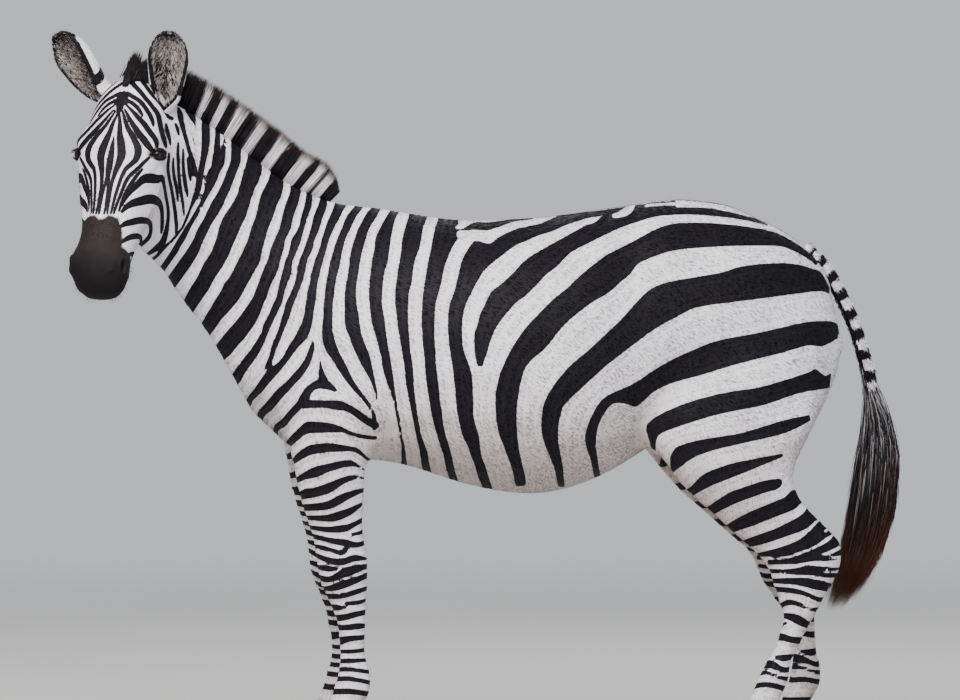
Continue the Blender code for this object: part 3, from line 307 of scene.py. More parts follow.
     ((-39.4, 51.6), (-35, 50.4), (-31, 49.5), (-28.2, 49.2), (-25.2, 50.4))),
    (((-39, 50), (-36.4, 49.7), (-33.3, 48.8), (-31.8, 48.6), (-30.2, 49.3)),
     ((-39, 49.4), (-36.4, 48.7), (-33.3, 47.9), (-31.8, 47.4), (-30.2, 48.4))),
    (((-38.4, 48.2), (-35, 47), (-31.8, 46.5), (-29, 47.5), (-26, 46.9)),
     ((-38.4, 47.4), (-35, 45.7), (-31.8, 45.1), (-29, 46), (-26, 46.4))),
    (((-38, 45.2), (-35, 45), (-32.5, 44.5)), ((-38, 44.5), (-35, 43.7), (-32.5, 44))),
    (((-38, 43.2), (-35, 42.5), (-33.3, 43.1), (-31.4, 44.4), (-28.7, 45.1), (-25, 45.4)),
     ((-38, 42.3), (-35, 41.2), (-31.8, 42.1), (-28.7, 43.2), (-25, 44.9))),
    (((-36.8, 40.4), (-35, 40.3), (-31.7, 41.5), (-28, 42.6), (-25, 43.7)),
     ((-36.8, 39.5), (-33.2, 39.3), (-30, 40.3), (-26.7, 41.8), (-25, 42.8))),
    (((-36, 38.6), (-32, 38.6), (-28, 39.7), (-25, 40.5)),
     ((-36, 37.5), (-31.9, 37.5), (-28, 38.6), (-25, 39.8))),
    (((-35.6, 36), (-33.2, 36.1), (-30.6, 35.5)), ((-35.6, 34.9), (-33.2, 34.8), (-30.6, 35.1))),
    (((-31, 36.7), (-28, 37), (-25, 37.8)), ((-31, 36), (-28, 36.1), (-25, 37.2))),
    (((-35, 33.5), (-31.7, 33.8), (-28.3, 34.5), (-25, 35.1)),
     ((-35, 32.6), (-31.7, 32.4), (-28.3, 33.3), (-25, 34.2))),
    (((-35, 31.9), (-31.7, 31.4), (-28, 31.8), (-25.4, 31.5)),
     ((-35, 31), (-31.7, 30.2), (-28, 30.5), (-25.4, 31))),
    (((-34.6, 28.7), (-32.3, 28.6), (-30, 28.9), (-25.6, 29.1)),
     ((-34.6, 28), (-32.2, 26.9), (-30, 27.6), (-25.6, 28.2))),
    (((-34.4, 25.6), (-29.7, 25.8), (-25.6, 26.2)), ((-34.4, 25), (-29.7, 24.9), (-25.6, 25.4))),
    (((-34.4, 23.4), (-30, 23.7), (-25.6, 23.7)), ((-34.4, 22.8), (-30, 22.7), (-25.6, 23.1))),
    (((-35, 21.4), (-30, 21.7), (-25, 20.9)), ((-35, 20.6), (-30, 20.8), (-25, 20.2))),
    (((-35.4, 19.4), (-30, 19.6), (-25, 18.6)), ((-35.4, 18.4), (-30, 18.6), (-25, 17.7))),
    (((-36, 16.6), (-30, 16.8), (-25, 16)), ((-36, 15.4), (-30, 15.6), (-25, 15))),
)
# A line lists across, up and its half width at points along it.
BODY_LINES = (
    # along the back of the jaw
    ((-65.2, 133.5, 0.25), (-66.3, 127.8, 0.4), (-68.4, 122.6, 0.45), (-71.8, 118.8, 0.45),
     (-75.3, 116.8, 0.3)),
    # arch over the foreleg, with its small triangle
    ((-44.8, 73.6, 0.4), (-45.4, 76, 0.5), (-45.5, 77.6, 0.6), (-44.9, 79.2, 0.8),
     (-43.6, 80, 0.9), (-42.3, 81, 0.9), (-40.9, 81.9, 1.0), (-38.9, 82.1, 1.0),
     (-36.5, 82.1, 0.9), (-34.4, 82, 1.0), (-32.5, 81.8, 1.2), (-31, 81.5, 1.0),
     (-29.6, 80.8, 0.9), (-28, 79.8, 0.9), (-26.2, 78.4, 0.9), (-24, 77.2, 0.9)),
    ((-40.8, 82.3, 1.2), (-39.6, 84.9, 1.0), (-38.2, 86.2, 0.9), (-36.7, 86.7, 1.1),
     (-34.9, 86.4, 1.0), (-33, 85.1, 0.4)),
    ((-36.6, 92, 0.15), (-36.5, 90, 0.5), (-36.1, 88, 1.0), (-36, 87, 1.4)),
    # the line over the saddle, and one at the hock
    ((-5.0, 121.5, 0.3), (-3.2, 122.2, 0.5), (-1, 123, 0.9), (1.5, 122.8, 1.0), (4, 123.3, 0.7),
     (8, 124.3, 0.35), (12, 124.8, 0.3)),
    ((66, 47.6, 0.15), (68, 46.8, 0.2)),
)
# White lines over the black ones.
WHITE_LINES = (
    ((-60.0, 147.0, 0.15), (-59.4, 145, 0.3), (-59.2, 143.2, 0.35), (-59.3, 141.8, 0.3),
     (-59.5, 140.6, 0.1)),
    ((-5.2, 122.6, 0.4), (-3.7, 123.6, 0.5), (-1.6, 124.6, 0.45), (0.5, 125, 0.4)),
    ((-4.5, 121.0, 0.9), (-2, 120.8, 1.0), (0, 120.5, 1.0), (1.9, 120.1, 1.15),
     (3.3, 120.9, 1.0), (5, 121.8, 0.8), (8.5, 123, 0.55), (13.3, 123.7, 0.35),
     (16.4, 125, 0.3), (18.5, 126, 0.25)),
    ((30.8, 125.2, 0.45), (32.5, 125.7, 0.7), (34, 126.6, 0.9), (34.8, 127.6, 0.7)),
    ((38, 127.6, 0.3), (44, 128, 0.3), (52, 127.6, 0.3), (64, 124.8, 0.25)),
    ((80.6, 54.2, 0.2), (79.2, 52.9, 0.3)),
    ((78.1, 47.5, 0.2), (80.2, 48, 0.4), (83.4, 49.7, 0.4)),
    ((80.2, 46.7, 0.2), (83.6, 47.1, 0.4)),
    ((78.8, 43.6, 0.15), (82.6, 43.7, 0.35)),
)
HEAD_LINES = (  # the left half of the face and its middle; the right half mirrors them
    # the hub between the ears where the stripes meet
    ((-82.0, 153.2, 0.7), (-82.4, 151.6, 0.9), (-82.8, 150.2, 0.9), (-83.1, 148.8, 0.4)),
    ((-84.2, 144.6, 0.12), (-84.2, 143.3, 0.25), (-84.2, 141.9, 0.32), (-84.35, 140.2, 0.42),
     (-84.5, 138, 0.42), (-84.8, 136, 0.36), (-85.2, 134, 0.3), (-85.4, 131, 0.26),
     (-85.8, 128, 0.24), (-86.2, 125.8, 0.2)),
    ((-83.4, 148.9, 0.15), (-83.7, 147.2, 0.2), (-83.9, 145.8, 0.25), (-84.1, 144.4, 0.2)),
    ((-82.8, 149, 0.15), (-82.6, 146.8, 0.35), (-82.6, 145.6, 0.45), (-82.6, 144.3, 0.55),
     (-82.5, 143, 0.75), (-82.3, 141.5, 0.88), (-82.2, 140, 0.95), (-82.3, 138.8, 0.9),
     (-82.6, 138, 0.8), (-83, 136.9, 0.7), (-83.4, 136, 0.6), (-84.1, 134, 0.42),
     (-84.6, 132, 0.34), (-84.9, 130, 0.3), (-85.2, 128, 0.26), (-85.5, 125.8, 0.2)),
    ((-82, 149.3, 0.15), (-81.3, 146.8, 0.38), (-80.7, 145.3, 0.48), (-80.1, 144.3, 0.55),
     (-79.6, 143.4, 0.6), (-79, 142.2, 0.68), (-78.6, 141.3, 0.75), (-78.4, 140, 0.82),
     (-78.6, 139, 0.75), (-79, 138.1, 0.65), (-79.8, 137.3, 0.55), (-80.6, 136.6, 0.5),
     (-81.3, 136, 0.45), (-82.3, 134, 0.4), (-82.9, 132.3, 0.36), (-83.5, 130.4, 0.34),
     (-84, 128.6, 0.3), (-84.4, 127, 0.28), (-84.7, 125.8, 0.2)),
    ((-81.4, 149.6, 0.15), (-80.3, 147.4, 0.38), (-79.6, 146.2, 0.5), (-78.9, 145.2, 0.6),
     (-78.2, 144.1, 0.68), (-77.3, 143, 0.72), (-76.6, 142, 0.72), (-75.9, 141.1, 0.62),
     (-75.2, 140.3, 0.45)),
    ((-81.2, 150.8, 0.15), (-79.9, 149.5, 0.3), (-79, 148.5, 0.42), (-78, 147.4, 0.5),
     (-77, 146.3, 0.55), (-76.2, 145.2, 0.58), (-75.4, 144.1, 0.56), (-74.7, 143.2, 0.52),
     (-74.2, 142.2, 0.5), (-74.1, 141.2, 0.3)),
    ((-81, 151.8, 0.3), (-79.6, 151, 0.38), (-78.5, 150, 0.38), (-77.8, 149, 0.32),
     (-77.4, 148.2, 0.15)),
    ((-80.8, 153.3, 0.35), (-79.5, 152.5, 0.36), (-78.3, 151.8, 0.38), (-77.3, 150.8, 0.42),
     (-76.4, 149.5, 0.42), (-75.7, 148.4, 0.42), (-75.1, 147, 0.4), (-74.9, 145.9, 0.15)),
    ((-80.4, 156.5, 0.45), (-79, 154.9, 0.38), (-77.8, 153.6, 0.36), (-76.7, 152.2, 0.36),
     (-75.8, 151.2, 0.38), (-75, 150.1, 0.42), (-74.2, 149.1, 0.46), (-73.7, 148, 0.5),
     (-73.4, 146.4, 0.52), (-73.1, 144.9, 0.5), (-72.7, 143.4, 0.46), (-72.3, 142.1, 0.44),
     (-72, 141, 0.25)),
    ((-79.3, 159.2, 0.35), (-78, 157, 0.32), (-76.6, 155, 0.28), (-75.3, 153.2, 0.26),
     (-74, 151.8, 0.26), (-73, 150.5, 0.26), (-72.2, 149.2, 0.25), (-71.5, 148, 0.32),
     (-70.6, 147.6, 0.32)),
    ((-72, 146.3, 0.2), (-71.8, 145, 0.42), (-71.5, 143.9, 0.38), (-71.2, 142.9, 0.3),
     (-71, 141.6, 0.15)),
    ((-69.8, 146.3, 0.2), (-69.3, 145, 0.32), (-69.1, 143.9, 0.15)),
    ((-69, 151.2, 0.2), (-68.9, 149.8, 0.5), (-68.7, 148, 0.6), (-68.4, 146.6, 0.5),
     (-68, 145, 0.42), (-67.5, 143.2, 0.4), (-67.1, 141.8, 0.36), (-66.7, 140.3, 0.42),
     (-66.2, 138.7, 0.5), (-65.8, 137.2, 0.6), (-65.4, 135, 0.7)),
    ((-82.1, 153.6, 0.55), (-81.6, 152.4, 0.75), (-81.2, 151.4, 0.5)),
    ((-75.9, 138.6, 0.3), (-77.2, 137.4, 0.38), (-78.2, 136.4, 0.4), (-79.2, 135.5, 0.42),
     (-80.4, 134.4, 0.42), (-81.3, 133, 0.4), (-81.9, 131.5, 0.36), (-82.5, 130, 0.34),
     (-83.1, 128.5, 0.3), (-83.6, 127, 0.28), (-84, 125.8, 0.2)),
    ((-77.4, 136, 0.2), (-78.4, 134.9, 0.36), (-79.3, 133.7, 0.42), (-80.2, 132.4, 0.42),
     (-81, 131, 0.4), (-81.7, 129.5, 0.36), (-82.3, 128, 0.3), (-82.8, 126.4, 0.2)),
    ((-73, 134.3, 0.4), (-74, 133.7, 0.95), (-75.5, 133.9, 1.1), (-76.8, 133.8, 1),
     (-77.9, 133.1, 0.78), (-79, 131.9, 0.62), (-80, 131, 0.56), (-80.9, 130, 0.5),
     (-81.6, 128.9, 0.42), (-82.2, 127.7, 0.25)),
    ((-72.9, 134, 0.5), (-72.4, 132, 0.32), (-72.1, 130, 0.32), (-71.7, 128, 0.32),
     (-71.5, 126, 0.34), (-71.6, 124, 0.38), (-71.9, 122, 0.48), (-72.3, 120.5, 0.62),
     (-72.9, 119, 0.72), (-74, 118, 0.68), (-75.2, 117.1, 0.52), (-76.5, 116.2, 0.35)),
    ((-82.1, 126.2, 0.3), (-81, 127.4, 0.62), (-79.5, 128.2, 0.85), (-78, 128.6, 0.98),
     (-76.5, 129, 1.05), (-75.2, 129.1, 1.05), (-74.2, 128.7, 0.92), (-73.4, 127.9, 0.6),
     (-73, 126.5, 0.42), (-72.9, 125, 0.38), (-72.9, 123.5, 0.38), (-73, 122.2, 0.32),
     (-73.2, 121.2, 0.12)),
    ((-82.3, 122.9, 0.35), (-81.2, 123.5, 0.62), (-80, 123.8, 0.72), (-78.3, 124.2, 0.76),
     (-76.8, 124.2, 0.72), (-75.8, 123.7, 0.52), (-75.5, 122.5, 0.38), (-75.6, 121.3, 0.38),
     (-76, 120.3, 0.42), (-76.8, 119.4, 0.42), (-77.8, 118.4, 0.2)),
    ((-82.3, 119.2, 0.35), (-81, 120, 0.52), (-79.8, 120.5, 0.62), (-78.6, 120.6, 0.62),
     (-77.9, 120.3, 0.42), (-77.75, 119, 0.22), (-77.9, 117.8, 0.32), (-78.3, 116.5, 0.36),
     (-78.7, 115.4, 0.28)),
    ((-81.4, 116.3, 0.25), (-80.3, 116.4, 0.38), (-79.5, 116.6, 0.42), (-79.7, 115.3, 0.26),
     (-80.1, 114.4, 0.2)),
    ((-71.3, 139.5, 0.25), (-71.5, 137.5, 0.32), (-71.6, 136, 0.32), (-71.3, 134, 0.32),
     (-70.9, 132, 0.32), (-70.5, 130, 0.33), (-70.2, 128, 0.36), (-69.9, 126, 0.38),
     (-69.7, 124, 0.38), (-69.6, 122.5, 0.36), (-69.8, 121.3, 0.15)),
    ((-70.3, 138.6, 0.15), (-70.4, 136.5, 0.28), (-70.1, 134, 0.32), (-69.7, 132, 0.32),
     (-69.4, 130, 0.26), (-69.3, 128.5, 0.12)),
    ((-69.2, 142, 0.15), (-69.3, 139.5, 0.3), (-69.2, 137, 0.3), (-69.1, 135, 0.32),
     (-68.9, 133, 0.32), (-68.6, 131, 0.32), (-68.3, 129, 0.3), (-68, 127, 0.26),
     (-67.9, 125.4, 0.12)),
    ((-68.1, 140.5, 0.12), (-68.1, 138, 0.3), (-68, 136, 0.32), (-67.8, 134, 0.42),
     (-67.5, 132, 0.42), (-67.2, 130.6, 0.3), (-67.1, 129.6, 0.12)),
    ((-67, 138.4, 0.25), (-66.7, 136, 0.42), (-66.5, 134.5, 0.36), (-66.4, 133.3, 0.15)),
)
# the front edge of the throat and breast, up to which the stripes of the neck run
THROAT = ((-78, 119), (-74, 113.5), (-69.3, 107.7), (-66.5, 102.5), (-58, 92), (-50, 82), (-45, 76))
# the line of the belly, down to which the stripes of the flank run
BELLY = ((-25, 69.5), (-11.5, 67), (2.5, 63), (11.5, 62), (22, 63), (32, 67.5), (37, 70.5))
# the outline of the head's side; its first points run from behind the ear down along the
# jaw, where the cheek ends and the neck begins
JAW_POINTS = 12
HEAD_SIDE = (
    (-72, 162), (-68.5, 156), (-67.1, 151.3), (-65.3, 146.1), (-64.4, 140.4), (-64.4, 135.8),
    (-65.3, 131.2), (-66.7, 126.6), (-68.2, 122.6), (-70.8, 119.5), (-74.2, 117.0),
    (-76.8, 115.9), (-78.6, 112.5), (-79, 100), (-112, 100), (-112, 178), (-72, 178),
)
# upper edge of the dark muzzle, from its right side to the corner of the mouth, and the
# corners that close it round the muzzle
MUZZLE_EDGE = (
    (-96, 123.5), (-90, 123.8), (-88, 124.1), (-86.2, 124.3), (-85.2, 125.2), (-84.3, 125),
    (-83.2, 124.4), (-82.5, 122.8), (-82.3, 121), (-82.4, 119.4), (-82.5, 118.1),
    (-82.2, 117), (-82.1, 115.6), (-81.3, 114.6), (-80.2, 113.6), (-79, 111),
    (-79, 90), (-100, 90), (-100, 123.5),
)
# How much wider than its lines the black is: everywhere on the face, over a range of heights
# on the face, and on the legs
FACE_WIDER = 0.08
FACE_WIDER_ABOVE = ((0.05, 137, 143), (0.08, 150, 154))
LEGS_WIDER = (0.09, 72, 60)
# An edge up to which the stripes are drawn out, how far they're pulled there, and its reach
DRAWN_OUT = ((THROAT, (1.7, 2.5), 6.0), (BELLY, (0.0, 1.9), 5.0))
FACE_RUN_OUT = 2.5  # how far the stripes of the face may run behind the cut of the head
HIDDEN_STRETCH = 0.8  # of the neck's stripes behind the cheek
DORSAL_HALF_WIDTH = (0.5, 1.0)  # on the loins and over the croup
DORSAL_WHITE = 0.9  # width of the white beside it
GROIN_HALF_WIDTH = 5.5
PASTERN_RINGS = (13.4, 11.2, 9.2)  # their heights
RING_HALF_WIDTH = 0.55

# ---------------------------------------------------------------- frames and curves
def smoothstep(low, high, value):
    t = np.clip((np.asarray(value, float) - low) / (high - low), 0, 1)
    return t * t * (3 - 2 * t)


def along(rows, count):
    """Rows of named sizes read at more places, on a smooth curve through them."""
    rows = np.array(rows, float)
    padded = np.vstack([2 * rows[0] - rows[1], rows, 2 * rows[-1] - rows[-2]])
    places = np.linspace(0, len(rows) - 1, count)
    index = np.minimum(places.astype(int), len(rows) - 2)
    t = (places - index)[:, None]
    p0, p1, p2, p3 = (padded[index + k] for k in range(4))
    return 0.5 * (
        2 * p1
        + (p2 - p0) * t
        + (2 * p0 - 5 * p1 + 4 * p2 - p3) * t**2
        + (3 * p1 - p0 - 3 * p2 + p3) * t**3
    )


def head_axes():
    nod, turn = HEAD_NOD, HEAD_TURN
    nose = Vector(
        (-math.cos(nod) * math.cos(turn), -math.cos(nod) * math.sin(turn), -math.sin(nod))
    )
    left = Vector((math.sin(turn), -math.cos(turn), 0))
    return np.array([nose, left, nose.cross(left)])


HEAD_AXES = head_axes()
eye_low, eye_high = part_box("eye_left")
SHIFT = np.array((eye_low + eye_high) / 2) - (np.array(POLL) + np.array(EYE_PLACE) @ HEAD_AXES)
SHIFT[2] = 0.0
POLL_HERE = np.array(POLL) + SHIFT


def to_head(points):
    return (points - POLL_HERE) @ HEAD_AXES.T


def from_head(points):
    return np.asarray(points) @ HEAD_AXES + POLL_HERE


def to_left_face(points):
    """Points in the head's frame, the right half carried over to the left one."""
    local = to_head(points)
    local[:, 1] = np.abs(local[:, 1])
    return local


def unit(v):
    v = np.asarray(v, float)
    return v / np.maximum(np.linalg.norm(v, axis=-1, keepdims=True), 1e-9)


def view_axes():
    a, e = VIEW_TURN, VIEW_RISE
    back = np.array((math.sin(a) * math.cos(e), -math.cos(a) * math.cos(e), math.sin(e)))
    right = np.array((math.cos(a), math.sin(a), 0.0))
    return right, np.cross(back, right), back


VIEW_RIGHT, VIEW_UP, VIEW_BACK = view_axes()
VIEW_CENTRE = SHIFT + np.array((0, 0, VIEW_HEIGHT))


def on_view_plane(points):
    """Centimetres across and up where the points are seen from the left side."""
    offset = points - VIEW_CENTRE
    scale = VIEW_DISTANCE / (VIEW_DISTANCE - offset @ VIEW_BACK)
    across = offset @ VIEW_RIGHT * scale
    up = VIEW_HEIGHT + offset @ VIEW_UP * scale
    return np.column_stack([across, up]) * 100


def ahead_of_cut(points):
    """How far points lie in front of the plane between head and neck."""
    line = HEAD_CUT[0] - HEAD_CUT[1]
    heading = Vector((-math.cos(HEAD_CUT_HEADING), -math.sin(HEAD_CUT_HEADING), 0))
    normal = (heading - line * (heading.dot(line) / line.length_squared)).normalized()
    return (points - SHIFT - np.array(HEAD_CUT[0])) @ np.array(normal)


def middle_y(points):
    """Where the middle plane of the trunk and the bent neck lies, beside each point."""
    crest = np.array(NECK_CREST)[::-1]
    x, z = points[:, 0] - SHIFT[0], points[:, 2]
    place = x + NECK_SLANT * np.clip(np.interp(x, crest[:, 0], crest[:, 1]) - z, 0, 0.5)
    place = np.where(z < 0.85, np.maximum(place, -0.40), place)
    return np.interp(place, crest[:, 0], crest[:, 2]) + SHIFT[1]


def step_of(leg, height):
    step, start, end = LEG_STEPS[leg]
    return step * smoothstep(0, 1, (start - height) / (start - end))


def to_left_half(points):
    """Points of the right half carried over to the left one, where the stripes are given."""
    on_face = from_head(to_left_face(points))
    on_body = points.copy()
    middle = middle_y(points)
    on_body[:, 1] = middle - np.abs(points[:, 1] - middle)
    right = points[:, 1] > middle
    fore, height = points[:, 0] < MID_LENGTH, points[:, 2]
    for kind, legs in (("foreleg", fore), ("hindleg", ~fore)):
        move = step_of(kind + "_right", height) - step_of(kind + "_left", height)
        on_body[:, 0] += np.where(right & legs, move, 0)
    weight = smoothstep(-0.02, 0.03, ahead_of_cut(points))[:, None]
    return on_body * (1 - weight) + on_face * weight


# ---------------------------------------------------------------- stripes
FAR = 99.0  # centimetres, where no stripe is near


def to_segments(points, chain, widths=None):
    """Distance of each point to a chain of segments, less its half width there."""
    best = np.full(len(points), 1e9)
    for i in range(len(chain) - 1):
        a, b = chain[i], chain[i + 1]
        run = b - a
        t = np.clip((points - a) @ run / max(run @ run, 1e-9), 0, 1)
        gap = np.linalg.norm(points - a - t[:, None] * run, axis=1)
        if widths is not None:
            gap = gap - (widths[i] + (widths[i + 1] - widths[i]) * t)
        best = np.minimum(best, gap)
    return best


def inside(points, outline):
    result = np.zeros(len(points), bool)
    x, y = points.T
    for (x0, y0), (x1, y1) in zip(outline, np.roll(outline, -1, axis=0)):
        if y0 != y1:
            crossing = (y0 > y) != (y1 > y)
            result ^= crossing & (x < (x1 - x0) * (y - y0) / (y1 - y0) + x0)
    return result


def to_outline(points, outline):
    """Distance of each point to a closed outline, negative inside it."""
    gap = to_segments(points, np.vstack([outline, outline[:1]]))
    return np.where(inside(points, outline), -gap, gap)


def near(points, chain, reach=2.0):
    """Which points lie in the box round a chain, drawn out by the reach."""
    low, high = chain.min(0) - reach, chain.max(0) + reach
    return np.nonzero(((points >= low) & (points <= high)).all(axis=1))[0]


def rounded(side, finer):
    """A chain of points with more of them, on a smooth curve."""
    return along(side, finer * (len(side) - 1) + 1)


def band_outline(band):
    if len(band) == 2 and len(band[0][0]) == 2:
        first, second = band
    else:
        first = [(left, z) for z, left, right in band]
        second = [(right, z) for z, left, right in band]
    return np.vstack([rounded(first, 3), rounded(second, 3)[::-1]])


def distance_to_bands(points, bands):
    best = np.full(len(points), FAR)
    for band in bands:
        outline = band_outline(band)
        index = near(points, outline)
        if len(index):
            best[index] = np.minimum(best[index], to_outline(points[index], outline))
    return best


def distance_to_lines(points, lines):
    best = np.full(len(points), FAR)
    for line in lines:
        line = rounded(line, 2)
        index = near(points, line[:, :2], 2.5)
        if len(index):
            gap = to_segments(points[index], line[:, :2], line[:, 2])
            best[index] = np.minimum(best[index], gap)
    return best


def inner_distance(points, outline):
    """How far points lie inside an outline in cm, negative outside; only near it."""
    outline = np.array(outline, float)
    result = np.full(len(points), -9.0)
    index = near(points, outline, 3)
    result[index] = -to_outline(points[index], outline)
    return result


def stripes_at(points):
    """Distance to the edge of the nearest stripe in metres, negative in the black."""
    flat = on_view_plane(to_left_half(points))
    wider = FACE_WIDER
    for extra, low, high in FACE_WIDER_ABOVE:
        wider = wider + extra * smoothstep(low, high, flat[:, 1])
    face = distance_to_lines(flat, HEAD_LINES) - wider
    past = inner_distance(flat, HEAD_SIDE)
    past = np.minimum(past, ahead_of_cut(points) * 100 + FACE_RUN_OUT)
    # where the cheek hides the neck, the neck's stripes go on as they came
    jaw = np.array(HEAD_SIDE[:JAW_POINTS], float)[::-1]
    edge = np.interp(flat[:, 1], jaw[:, 1], jaw[:, 0])
    hidden = (past < 0) & (flat[:, 0] < edge) & (flat[:, 1] > jaw[0, 1])
    flat[hidden, 0] = edge[hidden] + HIDDEN_STRETCH * (edge - flat[:, 0])[hidden]
    for edge, pull, reach in DRAWN_OUT:
        edge = np.array(edge, float)
        index = near(flat, edge, reach)
        weight = smoothstep(reach, 0.0, to_segments(flat[index], edge))
        flat[index] += np.array(pull) * weight[:, None]
    body = distance_to_bands(flat, STEEP_BANDS + LYING_BANDS)
    body = np.minimum(body, distance_to_lines(flat, BODY_LINES))
    extra, low, high = LEGS_WIDER
    body -= extra * smoothstep(low, high, flat[:, 1])
    body = np.maximum(body, -distance_to_lines(flat, WHITE_LINES))
    body = with_middle_and_rings(body, points)
    # the stripes of face and body each run out a little beyond the cut between them
    both = np.minimum(face + np.clip(-past, 0, 90), body + np.clip(past, 0, 90))
    return np.clip(both / 100, -STRIPE_REACH, STRIPE_REACH)


def with_middle_and_rings(body, points):
    """Adds the dorsal stripe, the plain groin and the rings round the pasterns."""
    aside = np.abs(points[:, 1] - SHIFT[1]) * 100
    x, z = points[:, 0], points[:, 2]
    # the dorsal stripe, edged with white over the croup
    on_back = (x > 0.06) & (z > 1.05)
    thin, thick = DORSAL_HALF_WIDTH
    half = thin + (thick - thin) * smoothstep(0.1, 0.35, x)
    white = DORSAL_WHITE * smoothstep(0.06, 0.2, x) * smoothstep(0.20, 0.32, x)
    body = np.where(on_back, np.maximum(body, half + white - aside), body)
    body = np.where(on_back, np.minimum(body, aside - half), body)
    groin = (x > 0.30) & (z < 0.80)
    body = np.where(groin, np.maximum(body, GROIN_HALF_WIDTH - aside), body)
    height = z * 100 + 4 * (points[:, 1] - SHIFT[1])
    for ring in PASTERN_RINGS:
        body = np.minimum(body, np.abs(height - ring) - RING_HALF_WIDTH)
    return body


def below_muzzle_edge(points):
    """1 on the dark muzzle, 0 on the striped face, from its edge line."""
    local = to_left_face(points)
    flat = on_view_plane(from_head(local))
    gap = -inner_distance(flat, MUZZLE_EDGE)
    # the edge lies higher on the right side
    right = smoothstep(0.0, -0.03, to_head(points)[:, 1])
    gap -= 2.0 * right * smoothstep(125.5, 123.0, flat[:, 1])
    dark = np.maximum(smoothstep(1.3, -0.6, gap), smoothstep(0.425, 0.462, local[:, 0]))
    return np.where(ahead_of_cut(points) > 0.02, dark, 0.0)


# ---------------------------------------------------------------- making pieces
def added(name, data):
    obj = bpy.data.objects.new(name, data)
    bpy.context.scene.collection.objects.link(obj)
    return obj


def put(name, mesh, slot, *replaced):
    """Makes a piece of the mesh and hides the nodes that it stands for; the slot is not used."""
    obj = added(name, mesh)
    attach(obj, "root")
    if replaced:
        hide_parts(*replaced)
    return obj


def shade_smooth(mesh):
    mesh.polygons.foreach_set("use_smooth", [True] * len(mesh.polygons))


def mesh_of(name, points, faces):
    mesh = bpy.data.meshes.new(name)
    mesh.from_pydata([tuple(p) for p in points], [], [tuple(f) for f in faces])
    shade_smooth(mesh)
    mesh.update()
    return mesh


def grid_faces(rows, columns, closed=False):
    """The four sided faces between rows of points, which may close to rings."""
    faces = []
    for i in range(rows - 1):
        for j in range(columns if closed else columns - 1):
            k = (j + 1) % columns
            here, above = i * columns, (i + 1) * columns
            faces.append((here + j, here + k, above + k, above + j))
    return faces


def vectors_of(mesh, kind):
    flat = np.empty(len(mesh.vertices) * 3, np.float32)
    mesh.vertices.foreach_get(kind, flat)
    return flat.reshape(-1, 3).astype(float)


def points_of(mesh):
    return vectors_of(mesh, "co")


def normals_of(mesh):
    return vectors_of(mesh, "normal")


def set_points(mesh, points):
    mesh.vertices.foreach_set("co", np.asarray(points, np.float32).ravel())
    mesh.update()


def keep_value(mesh, name, values):
    """Keeps a value on the mesh's points: one for each, or the same for all."""
    layer = mesh.attributes.get(name) or mesh.attributes.new(name, "FLOAT", "POINT")
    layer.data.foreach_set("value", np.full(len(layer.data), values, np.float32))


def keep_values(mesh, **given):
    for key in SKIN_VALUES:
        keep_value(mesh, key, given.get(key, 0.0))


def value_of(mesh, name):
    values = np.empty(len(mesh.vertices), np.float32)
    mesh.attributes[name].data.foreach_get("value", values)
    return values


@contextmanager
def opened(mesh):
    """The mesh's points, edges and faces, open for changes."""
    shape = bmesh.new()
    shape.from_mesh(mesh)
    yield shape
    shape.to_mesh(mesh)
    shape.free()


def face_outwards(mesh):
    with opened(mesh) as shape:
        bmesh.ops.recalc_face_normals(shape, faces=shape.faces)


def evened(mesh, rounds, weights=1.0):
    """Smooths without shrinking, as far as each point's weight allows."""
    pairs = np.empty(len(mesh.edges) * 2, np.int32)
    mesh.edges.foreach_get("vertices", pairs)
    a, b = pairs.reshape(-1, 2).T
    points = points_of(mesh)
    weights = np.full(len(points), weights)[:, None]
    count = np.bincount(a, minlength=len(points)) + np.bincount(b, minlength=len(points))
    for _ in range(rounds):
        for step in (0.5, -0.52):
            total = np.column_stack([
                np.bincount(a, points[b, k], len(points))
                + np.bincount(b, points[a, k], len(points))
                for k in range(3)
            ])
            points = points + (total / count[:, None] - points) * step * weights
    set_points(mesh, points)


def divided(mesh, wanted):
    """Cuts the mesh twice as fine between the wanted points."""
    with opened(mesh) as shape:
        shape.verts.ensure_lookup_table()
        edges = [e for e in shape.edges if all(wanted[v.index] for v in e.verts)]
        bmesh.ops.subdivide_edges(shape, edges=edges, cuts=1, use_grid_fill=True)
    mesh.update()


# ---------------------------------------------------------------- skin
def joined_flesh():
    """Copies of the solids of flesh, merged, swollen over their cuts and made one."""
    bpy.ops.object.select_all(action="DESELECT")
    for name in FLESH:
        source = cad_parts[name]
        mesh = source.data.copy()
        mesh.transform(source.matrix_world)
        mesh.materials.clear()
        with opened(mesh) as shape:
            bmesh.ops.remove_doubles(shape, verts=shape.verts, dist=1e-6)
            shape.normal_update()
            for v in shape.verts:
                v.co += v.normal * SWELL
        copy = added("flesh_" + name, mesh)
        copy.select_set(True)
        if name == FLESH[0]:
            bpy.context.view_layer.objects.active = copy
    bpy.ops.object.join()
    joined = bpy.context.view_layer.objects.active
    union = joined.modifiers.new("Union", "REMESH")
    union.mode = "VOXEL"
    union.voxel_size = SKIN_GRAIN
    bpy.ops.object.modifier_apply(modifier="Union")
    keep_largest(joined.data)
    return joined


